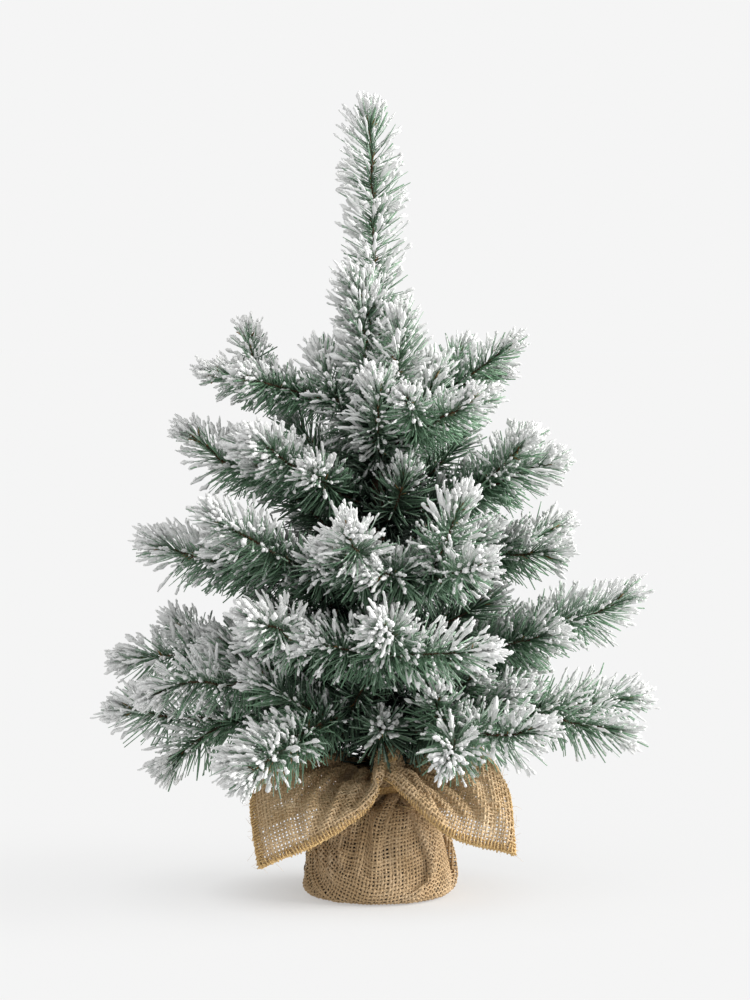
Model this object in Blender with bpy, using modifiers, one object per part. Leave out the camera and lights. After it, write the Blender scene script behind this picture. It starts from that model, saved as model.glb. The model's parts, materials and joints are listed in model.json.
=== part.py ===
"""Artificial tabletop tree: flocked branches on a wired trunk, set in a cement block wrapped in burlap.

Metres, +Z up. The origin is the middle of the burlap's underside, on the surface the tree stands on.
+Y points to the back of the tree and +X to its right.
"""

import math
from collections import namedtuple

import bmesh
import bpy
from mathutils import Vector

# Overall sizes.
TREE_HEIGHT = 0.594
TREE_RADIUS = 0.210

# Cement block.
BLOCK_RADIUS = 0.0555
BLOCK_TAPER = 0.0110
BLOCK_HEIGHT = 0.068
BLOCK_BOTTOM_ROUND = 0.006
BLOCK_TOP_ROUND = 0.013
SOCKET_FLOOR = 0.012

# Burlap: one square sheet, gathered round the trunk above the block.
BURLAP_SIDE = 0.440
BURLAP_THICKNESS = 0.0012
NECK_RADIUS = 0.021
NECK_RISE = 0.015
NECK_BAND = 0.006
SHOULDER_SHARE = 0.4
SHOULDER_RISE = 0.25
FLAP_CORNER_ROUND = 0.006
FLAP_STEPS = 6
FLAP_LIP = 0.002
# The flaps' fall from the tie: each length of cloth, and its slope in degrees. The last runs to the edge.
FLAP_FALL = ((FLAP_LIP, 90), (0.008, 62), (0.018, 24), (0.022, 4), (0.022, -18), (0.022, -45), (0.5, -66))

# Twine round the gathered neck.
TIE_RADIUS = 0.0014

# Trunk: a steel core inside a taped bundle of branch wires.
CORE_RADIUS = 0.0025
BUNDLE_BASE_RADIUS = 0.0065
BUNDLE_TOP_RADIUS = 0.0045
LEADER_SHARE = 0.586

# Branches.
WIRE_RADIUS = 0.0013
SHOOT_WIRE_RADIUS = 0.0011
FOLIAGE_RADIUS = 0.0125
LEADER_FOLIAGE_RADIUS = 0.018
SIDE_SHOOT_FOLIAGE_RADIUS = 0.011
BARE_WIRE = 0.034
LEADER_BARE_WIRE = 0.014
WIRE_SHORT_OF_TIP = 0.004
CROWN_ABOVE_NECK = 0.0185
SHOOT_EASE = 0.35
# The foliage's radius at its foot and at its tip, as shares of the full radius, and how fast it fills out from each.
FOOT_SHARE = 0.45
FOOT_GROWTH = 1.6
TIP_SHARE = 0.4
TIP_GROWTH = 2.4

CLEARANCE = 0.0003

# Each tip is at an azimuth in degrees, anticlockwise from +X seen from above, at a share of
# TREE_RADIUS from the trunk's axis, and at a share of the crown's height above the neck.
# A shoot leaves its branch at the share of the branch's length called start.
Tip = namedtuple("Tip", "azimuth reach height")
Shoot = namedtuple("Shoot", "start tip")
Branch = namedtuple("Branch", "root tip bow shoots")

BRANCHES = {
    "a1": Branch(0.08, Tip(-119, 0.87, 0.03), 0.04, [Shoot(0.45, Tip(-133, 0.80, 0.02))]),
    "a2": Branch(0.06, Tip(180, 0.99, 0.08), -0.03, [Shoot(0.45, Tip(-170, 0.79, -0.02))]),
    "a3": Branch(0.05, Tip(-54, 0.87, 0.08), -0.02, [Shoot(0.42, Tip(-73, 0.81, 0.05))]),
    "a4": Branch(0.07, Tip(-9, 0.94, 0.04), 0.05, [Shoot(0.45, Tip(6, 0.99, 0.09))]),
    "a5": Branch(0.06, Tip(40, 0.93, 0.04), 0.02, [Shoot(0.42, Tip(63, 0.86, 0.01))]),
    "a6": Branch(
        0.07, Tip(108, 0.93, 0.03), 0.02, [Shoot(0.40, Tip(87, 0.87, 0.05)), Shoot(0.48, Tip(130, 0.86, 0.01))]
    ),
    "b1": Branch(0.14, Tip(-158, 0.90, 0.11), 0.03, []),
    "b2": Branch(0.15, Tip(-118, 0.84, 0.24), -0.02, []),
    "b3": Branch(0.14, Tip(-88, 0.82, 0.24), -0.03, [Shoot(0.45, Tip(-61, 0.84, 0.20))]),
    "b4": Branch(0.13, Tip(0, 0.95, 0.26), -0.03, [Shoot(0.45, Tip(21, 0.84, 0.23))]),
    "b5": Branch(0.15, Tip(56, 0.90, 0.18), 0.0, [Shoot(0.42, Tip(80, 0.84, 0.17))]),
    "b6": Branch(0.14, Tip(122, 0.90, 0.16), 0.0, [Shoot(0.42, Tip(100, 0.85, 0.19))]),
    "b7": Branch(0.12, Tip(169, 1.0, 0.15), 0.02, [Shoot(0.45, Tip(157, 0.85, 0.21))]),
    "c1": Branch(0.26, Tip(180, 0.85, 0.34), -0.03, [Shoot(0.45, Tip(160, 0.74, 0.31))]),
    "c2": Branch(0.26, Tip(-138, 0.76, 0.39), -0.05, []),
    "c3": Branch(0.26, Tip(-97, 0.79, 0.37), -0.05, []),
    "c4": Branch(0.26, Tip(-65, 0.77, 0.32), 0.0, [Shoot(0.42, Tip(-67, 0.70, 0.41))]),
    "c5": Branch(0.25, Tip(22, 0.76, 0.36), -0.03, [Shoot(0.42, Tip(-8, 0.60, 0.32))]),
    "c6": Branch(
        0.27, Tip(88, 0.78, 0.34), -0.02, [Shoot(0.42, Tip(62, 0.74, 0.31)), Shoot(0.45, Tip(113, 0.75, 0.31))]
    ),
    "d1": Branch(0.38, Tip(-176, 0.73, 0.51), -0.05, [Shoot(0.45, Tip(152, 0.62, 0.47))]),
    "d2": Branch(0.39, Tip(-137, 0.61, 0.51), -0.05, []),
    "d3": Branch(0.38, Tip(-12, 0.68, 0.48), -0.06, [Shoot(0.45, Tip(24, 0.62, 0.50))]),
    "d4": Branch(
        0.39, Tip(92, 0.63, 0.49), -0.04, [Shoot(0.42, Tip(64, 0.59, 0.47)), Shoot(0.45, Tip(122, 0.60, 0.47))]
    ),
    "e1": Branch(0.55, Tip(-172, 0.66, 0.61), -0.05, [Shoot(0.50, Tip(165, 0.49, 0.68))]),
    "e2": Branch(0.48, Tip(-55, 0.56, 0.56), -0.03, []),
    "e3": Branch(0.54, Tip(16, 0.51, 0.61), -0.05, [Shoot(0.42, Tip(64, 0.49, 0.59))]),
}
LEADER_TIP = Tip(180, 0.03, 1.0)
LEADER_SHOOTS = [Shoot(0.08, Tip(-114, 0.19, 0.72)), Shoot(0.08, Tip(71, 0.17, 0.69))]

# Facets.
TURN_STEPS = 24
SHEET_STEPS = 40
BRANCH_STEPS = 5
SHOOT_STEPS = 4

# Worked out from the sizes above.
BLOCK_BASE = BURLAP_THICKNESS + CLEARANCE
BLOCK_TOP = BLOCK_BASE + BLOCK_HEIGHT
NECK_HEIGHT = BLOCK_TOP + NECK_RISE
CROWN_BASE = NECK_HEIGHT + CROWN_ABOVE_NECK
CROWN_HEIGHT = TREE_HEIGHT - CROWN_BASE
TRUNK_TOP = CROWN_BASE + LEADER_SHARE * CROWN_HEIGHT
CORE_HOLE_RADIUS = CORE_RADIUS + CLEARANCE

COLLECTION = "artificial_tabletop_tree"
CUTTERS = "cutters"


# Where things are

def tip_point(tip):
    """A tip's place."""
    angle = math.radians(tip.azimuth)
    reach = tip.reach * TREE_RADIUS
    return Vector((reach * math.cos(angle), reach * math.sin(angle), CROWN_BASE + tip.height * CROWN_HEIGHT))


def bundle_radius(height):
    """The taped bundle's outer radius, which narrows from the block up to the leader."""
    share = (height - BLOCK_TOP) / (TRUNK_TOP - BLOCK_TOP)
    return BUNDLE_BASE_RADIUS + (BUNDLE_TOP_RADIUS - BUNDLE_BASE_RADIUS) * share


def branch_root(branch):
    """The point beside the trunk's skin where a branch bends, clear of the skin at any slope."""
    height = CROWN_BASE + branch.root * CROWN_HEIGHT
    angle = math.radians(branch.tip.azimuth)
    reach = bundle_radius(height) + CLEARANCE + WIRE_RADIUS
    return Vector((reach * math.cos(angle), reach * math.sin(angle), height))


def bowed_line(start, end, bow, steps):
    """Points from start to end on an arc whose middle stands above the straight line by bow."""
    shares = [step / steps for step in range(steps + 1)]
    return [start.lerp(end, share) + Vector((0, 0, 4 * bow * share * (1 - share))) for share in shares]


def along(points, share):
    """The point at a share of the way along a line of evenly spaced points, and the direction there."""
    place = share * (len(points) - 1)
    step = min(int(place), len(points) - 2)
    run = points[step + 1] - points[step]
    return points[step] + run * (place - step), run.normalized()


def shoot_line(parent, shoot, steps):
    """Points of a side shoot, which leaves its branch along it and curves out to its own tip."""
    start, direction = along(parent, shoot.start)
    end = tip_point(shoot.tip)
    control = start + direction * (SHOOT_EASE * (end - start).length)
    shares = [step / steps for step in range(steps + 1)]
    return [start.lerp(control, share).lerp(control.lerp(end, share), share) for share in shares]


def shortened(points, length):
    """The same line with its last point moved back by length."""
    back = (points[-2] - points[-1]).normalized() * length
    return points[:-1] + [points[-1] + back]


def cut_start(points, length):
    """The line without its first stretch."""
    rest = list(points)
    while (rest[1] - rest[0]).length <= length:
        length -= (rest[1] - rest[0]).length
        rest.pop(0)
    rest[0] = rest[0] + (rest[1] - rest[0]).normalized() * length
    return rest


# Objects

def new_collection(name):
    collection = bpy.data.collections.new(name)
    bpy.context.scene.collection.children.link(collection)
    return collection


def material(name, colour, roughness, metallic=0.0):
    made = bpy.data.materials.get(name)
    if made:
        return made
    made = bpy.data.materials.new(name)
    made.use_nodes = True
    shader = made.node_tree.nodes["Principled BSDF"]
    shader.inputs["Base Color"].default_value = (*colour, 1)
    shader.inputs["Roughness"].default_value = roughness
    shader.inputs["Metallic"].default_value = metallic
    made.diffuse_color = (*colour, 1)
    return made


def cement():
    return material("cement", (0.55, 0.54, 0.52), 0.9)


def burlap():
    return material("burlap", (0.45, 0.31, 0.18), 0.95)


def twine():
    return material("twine", (0.50, 0.34, 0.17), 0.9)


def steel():
    return material("steel", (0.55, 0.55, 0.55), 0.4, 1.0)


def brown_tape():
    return material("brown_tape", (0.10, 0.06, 0.035), 0.6)


def flocked_needles():
    return material("flocked_needles", (0.50, 0.58, 0.54), 0.9)


def add_object(name, mesh, collection, finish, at=(0, 0, 0)):
    made = bpy.data.objects.new(name, mesh)
    made.location = at
    collection.objects.link(made)
    mesh.materials.append(finish)
    return made


def shade_round(mesh, angle=40):
    mesh.shade_smooth()
    mesh.set_sharp_from_angle(angle=math.radians(angle))


def tube_mesh(name, points, radii, sides):
    """A closed tube through the points, with its own radius at each, as a mesh around the first point."""
    curve = bpy.data.curves.new(name, "CURVE")
    curve.dimensions = "3D"
    curve.twist_mode = "MINIMUM"
    curve.bevel_depth = 1.0
    curve.bevel_resolution = (sides - 4) // 2
    curve.use_fill_caps = True
    spline = curve.splines.new("POLY")
    spline.points.add(len(points) - 1)
    for knot, point, radius in zip(spline.points, points, radii):
        knot.co = (*(point - points[0]), 1)
        knot.radius = radius
    holder = bpy.data.objects.new(name, curve)
    bpy.context.scene.collection.objects.link(holder)
    graph = bpy.context.evaluated_depsgraph_get()
    mesh = bpy.data.meshes.new_from_object(holder.evaluated_get(graph))
    bpy.data.objects.remove(holder)
    bpy.data.curves.remove(curve)
    shape = bmesh.new()
    shape.from_mesh(mesh)
    bmesh.ops.remove_doubles(shape, verts=shape.verts, dist=0.00001)
    shape.to_mesh(mesh)
    shape.free()
    mesh.name = name
    return mesh


def add_cutter(name, mesh, at, cutters):
    """A hidden helper for a Boolean."""
    made = bpy.data.objects.new(name, mesh)
    made.location = at
    cutters.objects.link(made)
    made.hide_render = True
    made.display_type = "WIRE"
    return made


def boolean(target, other, operation):
    step = target.modifiers.new(other.name, "BOOLEAN")
    step.operation = operation
    step.object = other


def screw_solid(name, profile, collection, finish, at):
    """A turned solid. The profile runs down its outer side as (radius, height) pairs."""
    mesh = bpy.data.meshes.new(name)
    points = [(radius, 0, height) for radius, height in profile]
    mesh.from_pydata(points, [(index, index + 1) for index in range(len(points) - 1)], [])
    made = add_object(name, mesh, collection, finish, at)
    turn = made.modifiers.new("turn", "SCREW")
    turn.steps = turn.render_steps = TURN_STEPS
    turn.use_merge_vertices = True
    turn.merge_threshold = 0.00001
    turn.use_smooth_shade = True
    return made


def arc(centre, radius, first, last, steps):
    """Points on an arc in the (radius, height) plane, between two angles in degrees."""
    angles = [math.radians(first + (last - first) * step / steps) for step in range(steps + 1)]
    return [(centre[0] + radius * math.cos(a), centre[1] + radius * math.sin(a)) for a in angles]


# The base

def block_outline():
    """The block's side from its top edge to its bottom edge, which is the wider one."""
    top = BLOCK_RADIUS - BLOCK_TAPER
    upper = arc((top - BLOCK_TOP_ROUND, BLOCK_TOP - BLOCK_TOP_ROUND), BLOCK_TOP_ROUND, 90, 0, 3)
    centre = (BLOCK_RADIUS - BLOCK_BOTTOM_ROUND, BLOCK_BASE + BLOCK_BOTTOM_ROUND)
    return upper + arc(centre, BLOCK_BOTTOM_ROUND, 0, -90, 3)


def add_cement_weight(collection):
    """The cast block, with the socket that the trunk's core stands in."""
    socket = [(CORE_HOLE_RADIUS, SOCKET_FLOOR), (CORE_HOLE_RADIUS, BLOCK_TOP)]
    profile = [(0, SOCKET_FLOOR)] + socket + block_outline() + [(0, BLOCK_BASE)]
    local = [(radius, height - BLOCK_BASE) for radius, height in profile]
    return screw_solid("cement_weight", local, collection, cement(), (0, 0, BLOCK_BASE))


def sheet_profile():
    """The burlap's middle layer from the underside's centre to the neck, as (radius, height) pairs."""
    off = CLEARANCE + BURLAP_THICKNESS / 2
    floor = [(share * (BLOCK_RADIUS - BLOCK_BOTTOM_ROUND), BURLAP_THICKNESS / 2) for share in (0, 0.5)]
    around = block_outline()[::-1]
    centre = (0, (BLOCK_BASE + BLOCK_TOP) / 2)
    grown = []
    for before, point, after in zip([around[0]] + around[:-1], around, around[1:] + [around[-1]]):
        run = Vector((after[0] - before[0], after[1] - before[1]))
        side = Vector((run.y, -run.x)).normalized() * off
        if side.dot(Vector((point[0] - centre[0], point[1] - centre[1]))) < 0:
            side.negate()
        grown.append((point[0] + side.x, point[1] + side.y))
    grown[0] = (around[0][0], BURLAP_THICKNESS / 2)
    shoulder = (
        grown[-1][0] + (NECK_RADIUS - grown[-1][0]) * SHOULDER_SHARE,
        BLOCK_TOP + off + SHOULDER_RISE * (NECK_RISE - NECK_BAND),
    )
    return floor + grown + [shoulder, (NECK_RADIUS, NECK_HEIGHT - NECK_BAND), (NECK_RADIUS, NECK_HEIGHT)]


def run_length(profile):
    return sum(math.dist(a, b) for a, b in zip(profile, profile[1:]))


def flap_profile(length):
    """A point on the flap's fall, at a length of cloth above the tie: out and up, over, then down."""
    fall = [(NECK_RADIUS, NECK_HEIGHT + CLEARANCE)]
    for run, slope in FLAP_FALL:
        angle = math.radians(slope)
        fall.append((fall[-1][0] + run * math.cos(angle), fall[-1][1] + run * math.sin(angle)))
    for a, b in zip(fall, fall[1:]):
        run = math.dist(a, b)
        if length <= run:
            share = length / run
            return a[0] + (b[0] - a[0]) * share, a[1] + (b[1] - a[1]) * share
        length -= run


def edge_distance(angle):
    """From the sheet's centre to its edge, with its corners on the diagonals, slightly rounded."""
    turn = (angle + math.pi / 4) % (math.pi / 2) - math.pi / 4
    return BURLAP_SIDE / 2 / math.cos(turn) - FLAP_CORNER_ROUND * (abs(turn) / (math.pi / 4)) ** 8


def spread(angle, share):
    """Opens each corner of the sheet out sideways, away from the pleats between the corners."""
    turn = angle % (math.pi / 2) / (math.pi / 4) - 1
    opened = turn * (1 + 0.6 * share * (1 - turn * turn))
    return (angle // (math.pi / 2)) * math.pi / 2 + (opened + 1) * math.pi / 4


def add_sheet(name, centre, rings, collection):
    """A closed sheet of the burlap's thickness through the rings, with its middle filled if it has a centre."""
    shape = bmesh.new()
    rows = [[shape.verts.new(point) for point in ring] for ring in rings]
    middle = shape.verts.new(centre) if centre else None
    for step in range(SHEET_STEPS):
        after = (step + 1) % SHEET_STEPS
        if middle:
            shape.faces.new((middle, rows[0][after], rows[0][step]))
        for low, high in zip(rows, rows[1:]):
            shape.faces.new((low[step], low[after], high[after], high[step]))
    mesh = bpy.data.meshes.new(name)
    shape.to_mesh(mesh)
    shape.free()
    mesh.shade_smooth()
    made = add_object(name, mesh, collection, burlap())
    thick = made.modifiers.new("thickness", "SOLIDIFY")
    thick.thickness = BURLAP_THICKNESS
    thick.offset = 0
    thick.use_even_offset = False
    return made


def ring_point(radius, height, angle):
    return radius * math.cos(angle), radius * math.sin(angle), height


def add_burlap_wrap(collection):
    """The sheet's middle: under and round the block, and in to the neck that the tie holds."""
    inner = sheet_profile()
    angles = [math.tau * step / SHEET_STEPS for step in range(SHEET_STEPS)]
    rings = [[ring_point(radius, height, angle) for angle in angles] for radius, height in inner[1:]]
    return add_sheet("burlap_wrap", (0, 0, inner[0][1]), rings, collection)


def add_burlap_flaps(collection):
    """The rest of the same sheet, above the tie: it opens out into four corner flaps."""
    to_neck = run_length(sheet_profile())
    angles = [math.tau * step / SHEET_STEPS for step in range(SHEET_STEPS)]
    rings = [[ring_point(*flap_profile(length), angle) for angle in angles] for length in (0, FLAP_LIP)]
    for ring in range(1, FLAP_STEPS + 1):
        share = ring / FLAP_STEPS
        row = []
        for angle in angles:
            radius, height = flap_profile(share * (edge_distance(angle) - to_neck))
            row.append(ring_point(radius, height, spread(angle, share)))
        rings.append(row)
    return add_sheet("burlap_flaps", None, rings, collection)


def add_neck_tie(collection):
    """The twine that holds the burlap's neck."""
    bpy.ops.mesh.primitive_torus_add(
        major_radius=NECK_RADIUS + BURLAP_THICKNESS / 2 + CLEARANCE + TIE_RADIUS,
        minor_radius=TIE_RADIUS,
        major_segments=SHEET_STEPS,
        minor_segments=6,
        location=(0, 0, NECK_HEIGHT - NECK_BAND / 2),
    )
    made = bpy.context.object
    made.name = made.data.name = "neck_tie"
    for owner in made.users_collection:
        owner.objects.unlink(made)
    collection.objects.link(made)
    made.data.materials.append(twine())
    made.data.shade_smooth()
    return made


# The trunk

def add_trunk_core(collection):
    """The steel rod that stands in the cement."""
    bottom = SOCKET_FLOOR + CLEARANCE
    height = TRUNK_TOP - bottom
    bpy.ops.mesh.primitive_cylinder_add(
        vertices=12, radius=CORE_RADIUS, depth=height, location=(0, 0, bottom + height / 2)
    )
    made = bpy.context.object
    made.name = made.data.name = "trunk_core"
    for owner in made.users_collection:
        owner.objects.unlink(made)
    collection.objects.link(made)
    made.data.materials.append(steel())
    shade_round(made.data)
    return made


def add_trunk_bundle(collection):
    """The tails of the branch wires, bound round the core with tape."""
    bottom = BLOCK_TOP + CLEARANCE
    profile = [
        (CORE_HOLE_RADIUS, TRUNK_TOP),
        (BUNDLE_TOP_RADIUS, TRUNK_TOP),
        (BUNDLE_BASE_RADIUS, bottom),
        (CORE_HOLE_RADIUS, bottom),
        (CORE_HOLE_RADIUS, TRUNK_TOP),
    ]
    local = [(radius, height - bottom) for radius, height in profile]
    made = screw_solid("trunk_bundle", local, collection, brown_tape(), (0, 0, bottom))
    weld = made.modifiers.new("join ends", "WELD")
    weld.merge_threshold = 0.00001
    return made


# Branches

def swell(points, full, bare):
    """The foliage's radius at each point: slim by the trunk, full along the middle, narrow at the tip."""
    lengths = [0.0]
    for a, b in zip(points, points[1:]):
        lengths.append(lengths[-1] + (b - a).length)
    shares = [(length - bare) / (lengths[-1] - bare) for length in lengths]
    by_foot = [FOOT_SHARE + FOOT_GROWTH * max(share, 0) for share in shares]
    by_tip = [TIP_SHARE + TIP_GROWTH * (1 - share) for share in shares]
    return [full * min(1, foot, tip) for foot, tip in zip(by_foot, by_tip)]


def add_wire(name, lines, collection, cutters):
    """One branch's wire, with its side shoots twisted on. lines are (points, radius), the branch first."""
    points, radius = lines[0]
    mesh = tube_mesh(name, points, [radius] * len(points), 6)
    mesh.shade_smooth()
    made = add_object(name, mesh, collection, brown_tape(), points[0])
    for index, (side, thin) in enumerate(lines[1:], 1):
        cutter = tube_mesh(f"{name}_shoot_{index}", side, [thin] * len(side), 6)
        boolean(made, add_cutter(cutter.name, cutter, side[0], cutters), "UNION")
    return made


def add_foliage(name, lines, collection, cutters):
    """One branch's needles as a slim sleeve round its wire. lines are (points, wire radius, radii)."""
    points, _, radii = lines[0]
    mesh = tube_mesh(name, points, radii, 8)
    mesh.shade_smooth()
    made = add_object(name, mesh, collection, flocked_needles(), points[0])
    for index, (side, _, side_radii) in enumerate(lines[1:], 1):
        cutter = tube_mesh(f"{name}_side_{index}", side, side_radii, 8)
        boolean(made, add_cutter(cutter.name, cutter, side[0], cutters), "UNION")
    return made


def bore(made, name, points, radius, cutters):
    """Cuts the channel for a wire, with the wire's clearance round it and past its end."""
    last = points[-1] + (points[-1] - points[-2]).normalized() * CLEARANCE
    cutter = tube_mesh(name, points[:-1] + [last], [radius + CLEARANCE] * len(points), 6)
    boolean(made, add_cutter(name, cutter, points[0], cutters), "DIFFERENCE")


def add_branch(name, branch, collection, cutters):
    """A branch: its wire, which bends at the trunk, and its needles."""
    root = branch_root(branch)
    tip = tip_point(branch.tip)
    line = bowed_line(root, tip, branch.bow * (tip - root).length, BRANCH_STEPS)
    sides = [shoot_line(line, shoot, SHOOT_STEPS) for shoot in branch.shoots]
    add_shoots(name, line, sides, BARE_WIRE, FOLIAGE_RADIUS, FOLIAGE_RADIUS, collection, cutters)


def add_shoots(name, line, sides, bare, full, side_full, collection, cutters):
    """The wire and the needles for a main line and its side lines."""
    wires = [(shortened(line, WIRE_SHORT_OF_TIP), WIRE_RADIUS)]
    wires += [(shortened(side, WIRE_SHORT_OF_TIP), SHOOT_WIRE_RADIUS) for side in sides]
    add_wire(f"{name}_wire", wires, collection, cutters)
    covered = cut_start(line, bare)
    leaves = [(covered, WIRE_RADIUS, swell(covered, full, 0))]
    leaves += [(side, SHOOT_WIRE_RADIUS, swell(side, side_full, 0)) for side in sides]
    made = add_foliage(f"{name}_needles", leaves, collection, cutters)
    for index, (points, radius) in enumerate(wires):
        bore(made, f"{name}_bore_{index}", points, radius, cutters)


def add_leader(collection, cutters):
    """The upright top of the tree, with two short side shoots at its foot."""
    foot = Vector((0, 0, TRUNK_TOP + CLEARANCE + WIRE_RADIUS))
    line = bowed_line(foot, tip_point(LEADER_TIP), 0, BRANCH_STEPS)
    sides = [shoot_line(line, shoot, SHOOT_STEPS) for shoot in LEADER_SHOOTS]
    add_shoots(
        "leader",
        line,
        sides,
        LEADER_BARE_WIRE,
        LEADER_FOLIAGE_RADIUS,
        SIDE_SHOOT_FOLIAGE_RADIUS,
        collection,
        cutters,
    )


def main():
    for old in list(bpy.data.objects):
        bpy.data.objects.remove(old)
    tree = new_collection(COLLECTION)
    cutters = new_collection(CUTTERS)
    add_cement_weight(tree)
    add_burlap_wrap(tree)
    add_burlap_flaps(tree)
    add_neck_tie(tree)
    add_trunk_core(tree)
    add_trunk_bundle(tree)
    for name, branch in BRANCHES.items():
        add_branch(name, branch, tree, cutters)
    add_leader(tree, cutters)


main()
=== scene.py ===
"""The looks of the artificial tabletop tree: twisted wires, flocked needles and gathered burlap.

Metres, +Z up. The origin is the middle of the burlap's underside; +Y is the tree's back.
"""

import json
import math
from collections import namedtuple

import bpy
import numpy as np
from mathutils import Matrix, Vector


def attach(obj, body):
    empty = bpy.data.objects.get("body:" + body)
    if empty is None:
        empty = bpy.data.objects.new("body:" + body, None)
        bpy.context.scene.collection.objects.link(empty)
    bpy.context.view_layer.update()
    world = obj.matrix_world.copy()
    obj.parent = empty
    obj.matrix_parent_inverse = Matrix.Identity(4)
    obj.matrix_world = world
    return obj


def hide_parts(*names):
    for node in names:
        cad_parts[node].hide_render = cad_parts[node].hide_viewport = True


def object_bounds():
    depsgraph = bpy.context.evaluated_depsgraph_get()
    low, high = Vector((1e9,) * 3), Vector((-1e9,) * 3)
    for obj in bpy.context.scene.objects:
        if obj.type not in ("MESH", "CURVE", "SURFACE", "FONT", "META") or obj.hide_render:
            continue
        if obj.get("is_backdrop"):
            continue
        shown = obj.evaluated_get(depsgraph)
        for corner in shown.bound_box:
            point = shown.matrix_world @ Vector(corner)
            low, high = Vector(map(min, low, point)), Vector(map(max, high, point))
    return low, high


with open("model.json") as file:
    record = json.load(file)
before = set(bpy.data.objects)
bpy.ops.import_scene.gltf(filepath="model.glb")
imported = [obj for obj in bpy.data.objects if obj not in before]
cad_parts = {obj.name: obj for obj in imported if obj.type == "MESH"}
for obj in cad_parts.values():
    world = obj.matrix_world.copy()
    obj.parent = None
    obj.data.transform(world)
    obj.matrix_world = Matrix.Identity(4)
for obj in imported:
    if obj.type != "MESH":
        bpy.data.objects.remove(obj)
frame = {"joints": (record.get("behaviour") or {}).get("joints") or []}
cad_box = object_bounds()

SEED = 7
# Where the camera is, and the point it looks at.
VIEW_POINT = (-0.0023, -2.2, 0.4248)
LOOK_AT = (-0.0023, 0.0, 0.2988)

# The tree's layout, the same as the CAD part's. Each tip is at an azimuth in degrees, anticlockwise from +X
# seen from above, at a share of TREE_RADIUS, and at a share of the crown's height.
TREE_RADIUS = 0.210
LEADER_SHARE = 0.586

Tip = namedtuple("Tip", "azimuth reach height")
Shoot = namedtuple("Shoot", "start tip")
Branch = namedtuple("Branch", "root tip bow shoots")

BRANCHES = {
    "a1": Branch(0.08, Tip(-119, 0.87, 0.03), 0.04, [Shoot(0.45, Tip(-133, 0.80, 0.02))]),
    "a2": Branch(0.06, Tip(180, 0.99, 0.08), -0.03, [Shoot(0.45, Tip(-170, 0.79, -0.02))]),
    "a3": Branch(0.05, Tip(-54, 0.87, 0.08), -0.02, [Shoot(0.42, Tip(-73, 0.81, 0.05))]),
    "a4": Branch(0.07, Tip(-9, 0.94, 0.04), 0.05, [Shoot(0.45, Tip(6, 0.99, 0.09))]),
    "a5": Branch(0.06, Tip(40, 0.93, 0.04), 0.02, [Shoot(0.42, Tip(63, 0.86, 0.01))]),
    "a6": Branch(
        0.07,
        Tip(108, 0.93, 0.03),
        0.02,
        [Shoot(0.40, Tip(87, 0.87, 0.05)), Shoot(0.48, Tip(130, 0.86, 0.01))],
    ),
    "b1": Branch(0.14, Tip(-158, 0.90, 0.11), 0.03, []),
    "b2": Branch(0.15, Tip(-118, 0.84, 0.24), -0.02, []),
    "b3": Branch(0.14, Tip(-88, 0.82, 0.24), -0.03, [Shoot(0.45, Tip(-61, 0.84, 0.20))]),
    "b4": Branch(0.13, Tip(0, 0.95, 0.26), -0.03, [Shoot(0.45, Tip(21, 0.84, 0.23))]),
    "b5": Branch(0.15, Tip(56, 0.90, 0.18), 0.0, [Shoot(0.42, Tip(80, 0.84, 0.17))]),
    "b6": Branch(0.14, Tip(122, 0.90, 0.16), 0.0, [Shoot(0.42, Tip(100, 0.85, 0.19))]),
    "b7": Branch(0.12, Tip(169, 1.0, 0.15), 0.02, [Shoot(0.45, Tip(157, 0.85, 0.21))]),
    "c1": Branch(0.26, Tip(180, 0.85, 0.34), -0.03, [Shoot(0.45, Tip(160, 0.74, 0.31))]),
    "c2": Branch(0.26, Tip(-138, 0.76, 0.39), -0.05, []),
    "c3": Branch(0.26, Tip(-97, 0.79, 0.37), -0.05, []),
    "c4": Branch(0.26, Tip(-65, 0.77, 0.32), 0.0, [Shoot(0.42, Tip(-67, 0.70, 0.41))]),
    "c5": Branch(0.25, Tip(22, 0.76, 0.36), -0.03, [Shoot(0.42, Tip(-8, 0.60, 0.32))]),
    "c6": Branch(
        0.27,
        Tip(88, 0.78, 0.34),
        -0.02,
        [Shoot(0.42, Tip(62, 0.74, 0.31)), Shoot(0.45, Tip(113, 0.75, 0.31))],
    ),
    "d1": Branch(0.38, Tip(-176, 0.73, 0.51), -0.05, [Shoot(0.45, Tip(152, 0.62, 0.47))]),
    "d2": Branch(0.39, Tip(-137, 0.61, 0.51), -0.05, []),
    "d3": Branch(0.38, Tip(-12, 0.68, 0.48), -0.06, [Shoot(0.45, Tip(24, 0.62, 0.50))]),
    "d4": Branch(
        0.39,
        Tip(92, 0.63, 0.49),
        -0.04,
        [Shoot(0.42, Tip(64, 0.59, 0.47)), Shoot(0.45, Tip(122, 0.60, 0.47))],
    ),
    "e1": Branch(0.55, Tip(-172, 0.66, 0.61), -0.05, [Shoot(0.50, Tip(165, 0.49, 0.68))]),
    "e2": Branch(0.48, Tip(-55, 0.56, 0.56), -0.03, []),
    "e3": Branch(0.54, Tip(16, 0.51, 0.61), -0.05, [Shoot(0.42, Tip(64, 0.49, 0.59))]),
}
LEADER_TIP = Tip(180, 0.03, 1.0)
LEADER_SHOOTS = [Shoot(0.08, Tip(-114, 0.19, 0.72)), Shoot(0.08, Tip(71, 0.17, 0.69))]

# Where each joint is, and from that the crown's foot and height.
joint_place = {joint["child"]: np.array(joint["pos_m"]) for joint in frame["joints"]}
CROWN_HEIGHT = (joint_place["leader"][2] - joint_place["a1"][2]) / (LEADER_SHARE - BRANCHES["a1"].root)
CROWN_BASE = joint_place["a1"][2] - BRANCHES["a1"].root * CROWN_HEIGHT

UP = np.array([0.0, 0.0, 1.0])

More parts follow.
